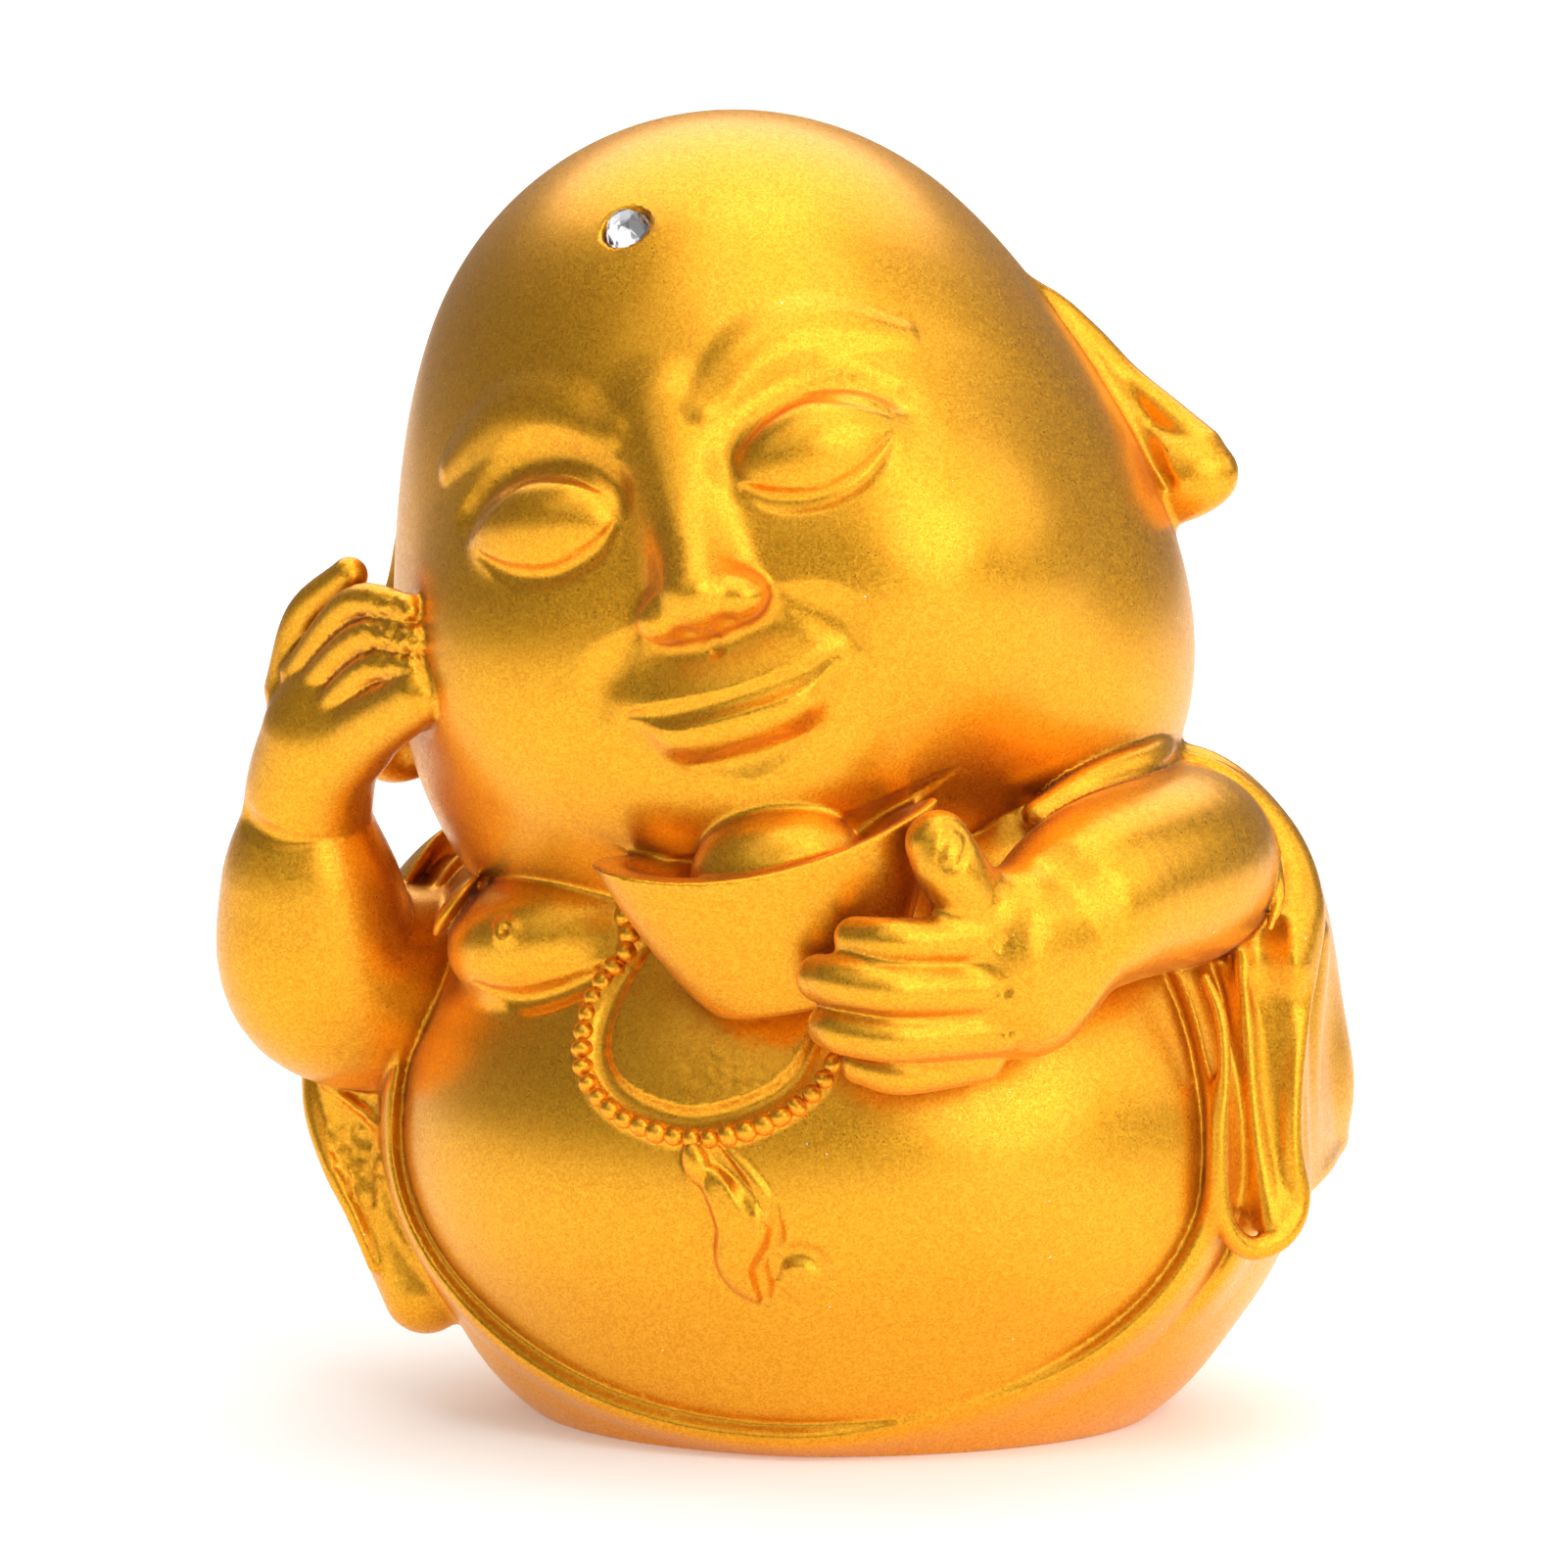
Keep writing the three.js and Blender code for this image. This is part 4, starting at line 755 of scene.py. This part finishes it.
pendantSizes = {
    "knot": [1.1, 0.9, 1.8],
    "proud": 0.75,  # of the leaf's flat face above the belly
    "leaf": [  # x, z and half its width
        (-6, 22.6, 0.8), (-4.4, 20.6, 1.6), (-3.3, 18.4, 1.9), (-3.9, 16.1, 1.4), (-3.4, 14.5, 1),
        (-2.4, 13.3, 0.3),
    ],
    "edge": [(-0.9, 20.4), (-0.9, 17.9), (-2.1, 15.9), (-1.9, 14.4), (-1.9, 13)],  # a line down its side
}


def makePendant(body):
    stops = [(x, z) for x, z, half in pendantSizes["leaf"]]
    leaf = Line(body.fromFront(stops), [half for x, z, half in pendantSizes["leaf"]])
    edge = Line(body.fromFront(pendantSizes["edge"]), [0.5, 1, 1, 1, 0.7])
    body.groove(edge, 1, 0.9)
    farEdge = Line(body.fromFront([(-7.1, 22.8), (-5.7, 19.8), (-6, 16.1), (-5, 14)]), [0.5, 1, 1, 0.6])
    body.groove(farEdge, 0.8, 0.45)
    body.layer(leaf, pendantSizes["proud"], 0.7)
    fold = body.fromFront([(-5.4, 24.4), (-4, 22.6), (-2.9, 20.8), (-2.6, 19.4)])
    body.groove(Line(fold, [0.6, 1, 1, 0.4]), 0.8, 0.55)
    side = body.fromFront([(-4.8, 24.8), (-3.1, 23), (-1.6, 21), (-1.2, 18.8)])
    body.ridge(Line(side, [0.5, 1, 1, 0.4]), 0.8, 0.4)
    pendant = Sculpture()
    knot = body.fromFront([(-6.8, 23.4)], 0.1)[0]
    pendant.add(Blob(knot, pendantSizes["knot"], (0, -14, 0)))
    return pendant


def makeFigure():
    body = makeBody()
    channel = body.fromFront(beadSizes["channel"])
    body.groove(Line(channel, [0.6] + [1] * (len(channel) - 2) + [0.6]), 1, 0.95)
    body.crumple((-4, -32, 31), 8, 0.09, 2)
    string = Line(body.fromFront(beadSizes["string"]))
    pendant = makePendant(body)
    body.ridge(string, 1, 0.25)
    body.add(pendant, 0.25)
    figure = Sculpture()
    figure.add(body)
    figure.add(makeLeftSleeve(), 1.4)
    figure.add(makeRightSleeve(), 1)
    head = makeHead()
    figure.add(Placed(head, headPose["place"], headPose["turn"]), 0.5)
    figure.add(makeRightArm(), 0.5)
    figure.add(Placed(makeIngot(), ingotSizes["place"], ingotSizes["turn"]), ingotSizes["fillet"])
    figure.add(makeLeftArm(), 0.4)
    figure.thin(meshing["skin"])
    figure.cut(Form([0, 0, 0], 200, lambda places: places[:, 2]), 0.02)
    return figure, head, string


# From distances to a mesh

meshing = {
    "cell": 0.32,
    "low": (-50, -43, -2),
    "high": (41, 35, 101),
    "blocks": (8, 2),  # cells in the side of a block, coarse and fine
    "near": 1.05,  # of a block's side: farther from the surface than this, it isn't looked into
    "triangles": 190000,
    "settleLimit": 0.25,
    "skin": 0.1,  # taken off, so that it stays inside the solid's box
}


def grid(count):
    return np.stack(np.meshgrid(*[np.arange(count)] * 3, indexing="ij"), axis=-1).reshape(-1, 3)


def sampleField(form):
    # distances on a box of cells: by coarse blocks, then by single cells near the surface
    cell, low = meshing["cell"], np.array(meshing["low"], float)
    coarse, fine = meshing["blocks"]
    counts = np.ceil((np.array(meshing["high"]) - low) / cell / coarse).astype(int)
    blocks = np.stack(np.meshgrid(*map(np.arange, counts), indexing="ij"), axis=-1).reshape(-1, 3) * coarse
    d = form.distance(low + (blocks + (coarse - 1) / 2) * cell)
    field = d.reshape(counts).astype(np.float32)
    for axis in range(3):
        field = np.repeat(field, coarse, axis=axis)
    for size, part in ((coarse, fine), (fine, 1)):
        near = np.abs(d) < meshing["near"] * size * cell
        blocks = (blocks[near][:, None] + grid(size // part) * part).reshape(-1, 3)
        d = form.distance(low + (blocks + (part - 1) / 2) * cell)
        for offset in grid(part):
            field[tuple((blocks + offset).T)] = d
    return field, low


def netSurface(field, low):
    # one corner in each cell that the surface crosses, and one face round each edge that it crosses
    inside = field < 0
    shape = np.array(field.shape) - 1
    corners = np.zeros(shape, np.int8)
    for i, j, k in grid(2):
        corners += inside[i:i + shape[0], j:j + shape[1], k:k + shape[2]]
    cells = np.argwhere((corners > 0) & (corners < 8))
    number = np.full(shape, -1, np.int32)
    number[tuple(cells.T)] = np.arange(len(cells))
    total = np.zeros((len(cells), 3))
    crossings = np.zeros(len(cells))
    faces = []
    for axis in range(3):
        step = np.eye(3, dtype=int)[axis]
        for offset in grid(2):
            if offset[axis]:
                continue
            start = cells + offset
            a, b = field[tuple(start.T)], field[tuple((start + step).T)]
            crossed = (a < 0) != (b < 0)
            share = a[crossed] / (a[crossed] - b[crossed])
            total[crossed] += start[crossed] + share[:, None] * step
            crossings[crossed] += 1
        ends = np.argwhere(np.diff(inside.astype(np.int8), axis=axis))
        ends = ends[(ends > 0).all(axis=1) & (ends < shape).all(axis=1)]
        u, v = np.roll(step, 1), np.roll(step, 2)
        ring = [number[tuple(corner.T)] for corner in (ends, ends - u, ends - u - v, ends - v)]
        ring = np.stack(ring, axis=1)
        outwards = inside[tuple(ends.T)]
        ring[~outwards] = ring[~outwards][:, ::-1]
        faces.append(ring)
    return low + total / crossings[:, None] * meshing["cell"], np.vstack(faces)


def slopeOf(form, places, step):
    # the way the distance grows, from the four corners of a tetrahedron, and the distance itself
    slope = np.zeros_like(places)
    middle = np.zeros(len(places))
    for corner in ((1, -1, -1), (-1, -1, 1), (-1, 1, -1), (1, 1, 1)):
        d = form.distance(places + np.array(corner) * step)
        slope += d[:, None] * corner / (4 * step)
        middle += d / 4
    return slope, middle


def makeMesh(name, vertices, faces):
    mesh = bpy.data.meshes.new(name)
    corners = faces.shape[1]
    mesh.vertices.add(len(vertices))
    mesh.vertices.foreach_set("co", vertices.astype(np.float32).ravel())
    mesh.loops.add(faces.size)
    mesh.loops.foreach_set("vertex_index", faces.astype(np.int32).ravel())
    mesh.polygons.add(len(faces))
    mesh.polygons.foreach_set("loop_start", np.arange(len(faces), dtype=np.int32) * corners)
    mesh.update(calc_edges=True)
    return mesh


def newPiece(name, mesh):
    piece = bpy.data.objects.new(name, mesh)
    scene.collection.objects.link(piece)
    return piece


def applied(piece):
    # the piece's modifiers made real, as a plain mesh on the same object
    bpy.context.view_layer.update()
    result = bpy.data.meshes.new_from_object(piece.evaluated_get(bpy.context.evaluated_depsgraph_get()))
    piece.modifiers.clear()
    old, piece.data = piece.data, result
    bpy.data.meshes.remove(old)
    return piece


def castFigure(figure, material):
    field, low = sampleField(figure)
    vertices, faces = netSurface(field, low)
    print("sculpture sampled:", len(faces), "faces")
    piece = newPiece("cast_figure", makeMesh("cast_figure", vertices, faces))
    thin = piece.modifiers.new("thin", "DECIMATE")
    thin.ratio = meshing["triangles"] / (2 * len(faces))
    applied(piece)
    mesh = piece.data
    places = np.empty(len(mesh.vertices) * 3, np.float32)
    mesh.vertices.foreach_get("co", places)
    places = places.reshape(-1, 3).astype(float)

    # corners move back onto the true surface, and take the true direction of the surface there
    cell = meshing["cell"]
    slope, d = slopeOf(figure, places, cell / 4)
    steep = np.maximum(length(slope), 0.5)
    move = np.clip(-d / steep, -meshing["settleLimit"], meshing["settleLimit"])
    places += (move / steep)[:, None] * slope
    places[:, 2] = np.maximum(places[:, 2], 0)
    normals, _ = slopeOf(figure, places, cell / 2)
    normals /= np.maximum(length(normals), 1e-6)[:, None]

    # how shut in each place is: nothing in the open, one deep in a crease; the paint colour is darkened by it, as
    # painted shade
    for name, reach in (("crease", 1.0), ("hollow", 4.0)):
        openness = figure.distance(places + normals * reach) / reach
        layer = mesh.attributes.new(name, "FLOAT", "POINT")
        layer.data.foreach_set("value", np.clip(1 - openness, 0, 1).astype(np.float32))
    mesh.vertices.foreach_set("co", (places * hundredth).astype(np.float32).ravel())
    mesh.polygons.foreach_set("use_smooth", np.ones(len(mesh.polygons), bool))
    mesh.update()
    mesh.normals_split_custom_set_from_vertices(normals.tolist())
    mesh.materials.append(material)
    print("figure:", len(mesh.polygons), "triangles")
    return piece


# Beads, as knobs of the same casting, strung by Geometry Nodes

def beadTree():
    tree = bpy.data.node_groups.new("string_of_beads", "GeometryNodeTree")
    sockets = tree.interface
    sockets.new_socket("Geometry", in_out="INPUT", socket_type="NodeSocketGeometry")
    for name, kind in (("Spacing", "Float"), ("Radius", "Float"), ("Unevenness", "Float"), ("Seed", "Int")):
        sockets.new_socket(name, in_out="INPUT", socket_type="NodeSocket" + kind)
    sockets.new_socket("Finish", in_out="INPUT", socket_type="NodeSocketMaterial")
    sockets.new_socket("Geometry", in_out="OUTPUT", socket_type="NodeSocketGeometry")
    given = addNode(tree, "NodeGroupInput").outputs
    curve = addNode(tree, "GeometryNodeMeshToCurve", {}, {"Mesh": given["Geometry"]})
    stops = addNode(tree, "GeometryNodeResampleCurve", {"mode": "LENGTH"}, {
        "Curve": curve.outputs["Curve"],
        "Length": given["Spacing"],
    })
    bead = addNode(tree, "GeometryNodeMeshIcoSphere", {}, {"Radius": given["Radius"], "Subdivisions": 3})
    least = addNode(tree, "ShaderNodeMath", {"operation": "SUBTRACT"}, {0: 1.0, 1: given["Unevenness"]})
    most = addNode(tree, "ShaderNodeMath", {"operation": "ADD"}, {0: 1.0, 1: given["Unevenness"]})
    size = addNode(tree, "FunctionNodeRandomValue", {"data_type": "FLOAT_VECTOR"}, {
        "Min": least.outputs[0],
        "Max": most.outputs[0],
        "Seed": given["Seed"],
    })
    way = addNode(tree, "GeometryNodeInputTangent")
    turn = addNode(tree, "FunctionNodeAlignRotationToVector", {"axis": "Z"}, {"Vector": way.outputs[0]})
    strung = addNode(tree, "GeometryNodeInstanceOnPoints", {}, {
        "Points": stops.outputs[0],
        "Instance": bead.outputs["Mesh"],
        "Rotation": turn.outputs[0],
        "Scale": size.outputs[0],
    })
    real = addNode(tree, "GeometryNodeRealizeInstances", {}, {"Geometry": strung.outputs[0]})
    smooth = addNode(tree, "GeometryNodeSetShadeSmooth", {}, {"Geometry": real.outputs[0]})
    painted = addNode(tree, "GeometryNodeSetMaterial", {}, {
        "Geometry": smooth.outputs[0],
        "Material": given["Finish"],
    })
    addNode(tree, "NodeGroupOutput", {}, {"Geometry": painted.outputs[0]})
    return tree


def setInput(modifier, name, value):
    item = modifier.node_group.interface.items_tree[name]
    modifier[item.identifier] = value


def stringBeads(string, material):
    path = string.rows[:, :3] * hundredth
    mesh = bpy.data.meshes.new("bead_string")
    mesh.from_pydata(path.tolist(), [(i, i + 1) for i in range(len(path) - 1)], [])
    piece = newPiece("bead_string", mesh)
    nodes = piece.modifiers.new("beads", "NODES")
    nodes.node_group = beadTree()
    setInput(nodes, "Spacing", beadSizes["spacing"] * hundredth)
    setInput(nodes, "Radius", beadSizes["radius"] * hundredth)
    setInput(nodes, "Unevenness", beadSizes["unevenness"])
    setInput(nodes, "Seed", beadSizes["seed"])
    setInput(nodes, "Finish", material)
    applied(piece)
    print("beads:", len(piece.data.polygons), "triangles")
    return piece


# Crystal: flat-backed cut glass, with a table, a crown in two rows of facets and a short girdle

crystalSizes = {
    "diameter": 0.0031,
    "height": 0.0015,
    "girdle": 0.0003,
    "standProud": 0.00075,  # of the table above the skin
    "clearance": 0.00015,  # round it in its seat
    "table": 0.00155,
    "waist": 0.00235,
    "waistHeight": 0.0011,
    "facets": 8,
    "rise": 47,  # degrees above the way the face looks
}


def crystalPlace(head):
    lifted = math.radians(crystalSizes["rise"])
    facing = Vector((0, -math.cos(lifted), math.sin(lifted)))
    start = np.array([facing]) * head.outside
    met = head.meet(start, -np.array(facing))[0] * hundredth
    local = Matrix.Translation(met) @ Vector((0, 0, 1)).rotation_difference(facing).to_matrix().to_4x4()
    turn = Matrix(turned(headPose["turn"]).tolist()).to_4x4()
    return Matrix.Translation(Vector(headPose["place"]) * hundredth) @ turn @ local


def cutCrystal(place, glass, foil):
    sizes = crystalSizes
    shape = bmesh.new()

    def ring(count, radius, height, shift):
        for i in range(count):
            angle = (i + shift) / count * 2 * math.pi
            shape.verts.new((radius * math.cos(angle), radius * math.sin(angle), height))
    ring(2 * sizes["facets"], sizes["diameter"] / 2, 0, 0.5)
    ring(2 * sizes["facets"], sizes["diameter"] / 2, sizes["girdle"], 0.5)
    ring(sizes["facets"], sizes["waist"] / 2, sizes["waistHeight"], 0.5)
    ring(sizes["facets"], sizes["table"] / 2, sizes["height"], 0)
    bmesh.ops.convex_hull(shape, input=shape.verts)
    bmesh.ops.translate(shape, verts=shape.verts, vec=(0, 0, sizes["standProud"] - sizes["height"]))
    bmesh.ops.recalc_face_normals(shape, faces=shape.faces)
    for face in shape.faces:
        face.material_index = 1 if face.normal.z < -0.9 else 0
    bmesh.ops.transform(shape, matrix=place, verts=shape.verts)
    mesh = bpy.data.meshes.new("cut_crystal")
    shape.to_mesh(mesh)
    shape.free()
    mesh.materials.append(glass)
    mesh.materials.append(foil)
    return newPiece("cut_crystal", mesh)


# Finishes

goldPaint = {
    "light": "#FFBC2E",
    "middle": "#EA9A1A",
    # painted shade: the deeper orange that creases and hollows are darkened towards
    "crease": "#BE7614",
    "flake": 0.12,  # mm across a pearl flake; real ones are finer and wouldn't show
    "mottle": 0.05,  # how far broad patches lean to one colour or the other
    "patchScale": 90.0,  # patches to the metre: each is about 11 mm across
    "metallic": 0.95,
    "roughness": 0.37,
    "roughnessSpread": 0.1,
    "flakeHeight": 0.02,  # mm
    "waveHeight": 0.4,
    "dust": "#FFF3D0",
    "dustSpacing": 1.3,  # mm
    "dustSize": 0.075,  # mm, half a grain
    "dustShare": 0.06,  # of the places where there could be a grain
}


def makeGoldPaint():
    # pearl gold paint, sprayed on cast resin: satin, with fine flakes, and painted shade: darker and more orange
    # in creases and hollows
    values = goldPaint
    material, tree = newMaterial("pearl_gold_paint")
    place = addNode(tree, "ShaderNodeTexCoord").outputs["Object"]
    crease = addNode(tree, "ShaderNodeAttribute", {"attribute_name": "crease"}).outputs["Fac"]
    hollow = addNode(tree, "ShaderNodeAttribute", {"attribute_name": "hollow"}).outputs["Fac"]
    flakes = addNode(tree, "ShaderNodeTexVoronoi", {}, {
        "Vector": place,
        "Scale": 1000 / values["flake"],
    })
    glint = addNode(tree, "ShaderNodeSeparateColor", {}, {"Color": flakes.outputs["Color"]})
    patches = addNode(tree, "ShaderNodeTexNoise", {}, {
        "Vector": place,
        "Scale": values["patchScale"],
        "Detail": 3.0,
    })
    mottle = addNode(tree, "ShaderNodeMapRange", {}, {
        "Value": patches.outputs[0],
        "From Min": 0.3,
        "From Max": 0.7,
        "To Min": -values["mottle"],
        "To Max": values["mottle"],
    })
    tone = addNode(tree, "ShaderNodeMath", {"operation": "ADD", "use_clamp": True}, {
        0: glint.outputs["Red"],
        1: mottle.outputs[0],
    })
    body = addNode(tree, "ShaderNodeMix", {"data_type": "RGBA"}, {
        "Factor": tone.outputs[0],
        "A": linear(values["middle"]),
        "B": linear(values["light"]),
    })
    # painted shade: the colour is darkened towards the crease colour where the place is shut in, in creases and
    # hollows
    shut = addNode(tree, "ShaderNodeMath", {"operation": "MULTIPLY_ADD"}, {0: hollow, 1: 0.45, 2: crease})
    paintedShade = addNode(tree, "ShaderNodeMapRange", {}, {
        "Value": shut.outputs[0],
        "From Min": 0.35,
        "From Max": 1.2,
        "To Max": 0.6,
    })
    withPaintedShade = addNode(tree, "ShaderNodeMix", {"data_type": "RGBA"}, {
        "Factor": paintedShade.outputs[0],
        "A": body.outputs["Result"],
        "B": linear(values["crease"]),
    })

    # grains of dust caught in the paint, here and there
    grains = addNode(tree, "ShaderNodeTexVoronoi", {}, {
        "Vector": place,
        "Scale": 1000 / values["dustSpacing"],
    })
    chance = addNode(tree, "ShaderNodeSeparateColor", {}, {"Color": grains.outputs["Color"]})
    chosen = addNode(tree, "ShaderNodeMath", {"operation": "LESS_THAN"}, {
        0: chance.outputs["Red"],
        1: values["dustShare"],
    })
    inGrain = addNode(tree, "ShaderNodeMath", {"operation": "LESS_THAN"}, {
        0: grains.outputs["Distance"],
        1: values["dustSize"] / values["dustSpacing"],
    })
    dust = addNode(tree, "ShaderNodeMath", {"operation": "MULTIPLY"}, {
        0: chosen.outputs[0],
        1: inGrain.outputs[0],
    })
    colour = addNode(tree, "ShaderNodeMix", {"data_type": "RGBA"}, {
        "Factor": dust.outputs[0],
        "A": withPaintedShade.outputs["Result"],
        "B": linear(values["dust"]),
    })
    rough = addNode(tree, "ShaderNodeMapRange", {}, {
        "Value": glint.outputs["Green"],
        "To Min": values["roughness"] - values["roughnessSpread"],
        "To Max": values["roughness"] + values["roughnessSpread"],
    })
    grain = addNode(tree, "ShaderNodeBump", {}, {
        "Height": glint.outputs["Blue"],
        "Strength": 0.4,
        "Distance": values["flakeHeight"] / 1000,
    })
    waves = addNode(tree, "ShaderNodeBump", {}, {
        "Height": patches.outputs[0],
        "Strength": 0.1,
        "Distance": values["waveHeight"] / 1000,
        "Normal": grain.outputs[0],
    })
    paint = addNode(tree, "ShaderNodeBsdfPrincipled", {}, {
        "Base Color": colour.outputs["Result"],
        "Metallic": values["metallic"],
        "Roughness": rough.outputs[0],
        "Normal": waves.outputs[0],
        "Coat Weight": 0.15,
        "Coat Roughness": 0.2,
        "Sheen Weight": 0.06,
        "Sheen Tint": linear("#FFDCC8"),
        "Sheen Roughness": 0.4,
    })
    addNode(tree, "ShaderNodeOutputMaterial", {}, {"Surface": paint.outputs[0]})
    return material


def makeGlass():
    # cut lead glass: clear, bright, hard-edged facets
    material, tree = newMaterial("cut_glass")
    glass = addNode(tree, "ShaderNodeBsdfPrincipled", {}, {
        "Base Color": linear("#FFFFFF"),
        "Roughness": 0.02,
        "IOR": 1.6,
        "Transmission Weight": 1.0,
    })
    addNode(tree, "ShaderNodeOutputMaterial", {}, {"Surface": glass.outputs[0]})
    return material


def makeFoil():
    # silver foil on the flat back, which throws the light out again
    material, tree = newMaterial("silver_foil")
    foil = addNode(tree, "ShaderNodeBsdfPrincipled", {}, {
        "Base Color": linear("#D8DADC"),
        "Metallic": 1.0,
        "Roughness": 0.15,
    })
    addNode(tree, "ShaderNodeOutputMaterial", {}, {"Surface": foil.outputs[0]})
    return material


scene.view_settings.view_transform = "Standard"
directions = makeCamera()
makeStudio(directions)
print("studio set")

gold = makeGoldPaint()
figure, head, string = makeFigure()
print("sculpture laid out")
place = crystalPlace(head)
seat = crystalSizes["diameter"] / 2 + crystalSizes["clearance"]
seatAxis = np.array(place.to_3x3() @ Vector((0, 0, 1)))
seatMiddle = np.array(place.translation) / hundredth


def seatDistance(places):
    # a round seat, a little wider and deeper than the crystal
    offset = places - seatMiddle
    along = offset @ seatAxis
    across = length(offset - along[:, None] * seatAxis)
    depth = (crystalSizes["height"] - crystalSizes["standProud"] + crystalSizes["clearance"]) / hundredth
    return np.maximum(across - seat / hundredth, -along - depth)


figure.cut(Form(seatMiddle, 6, seatDistance), 0.05)
pieces = [
    (castFigure(figure, gold), "figure", "gold_paint"),
    (stringBeads(string, gold), "figure", "gold_paint"),
    (cutCrystal(place, makeGlass(), makeFoil()), "forehead_crystal", "clear_crystal"),
]
for piece, node, slot in pieces:
    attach(piece, "root")
    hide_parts(node)
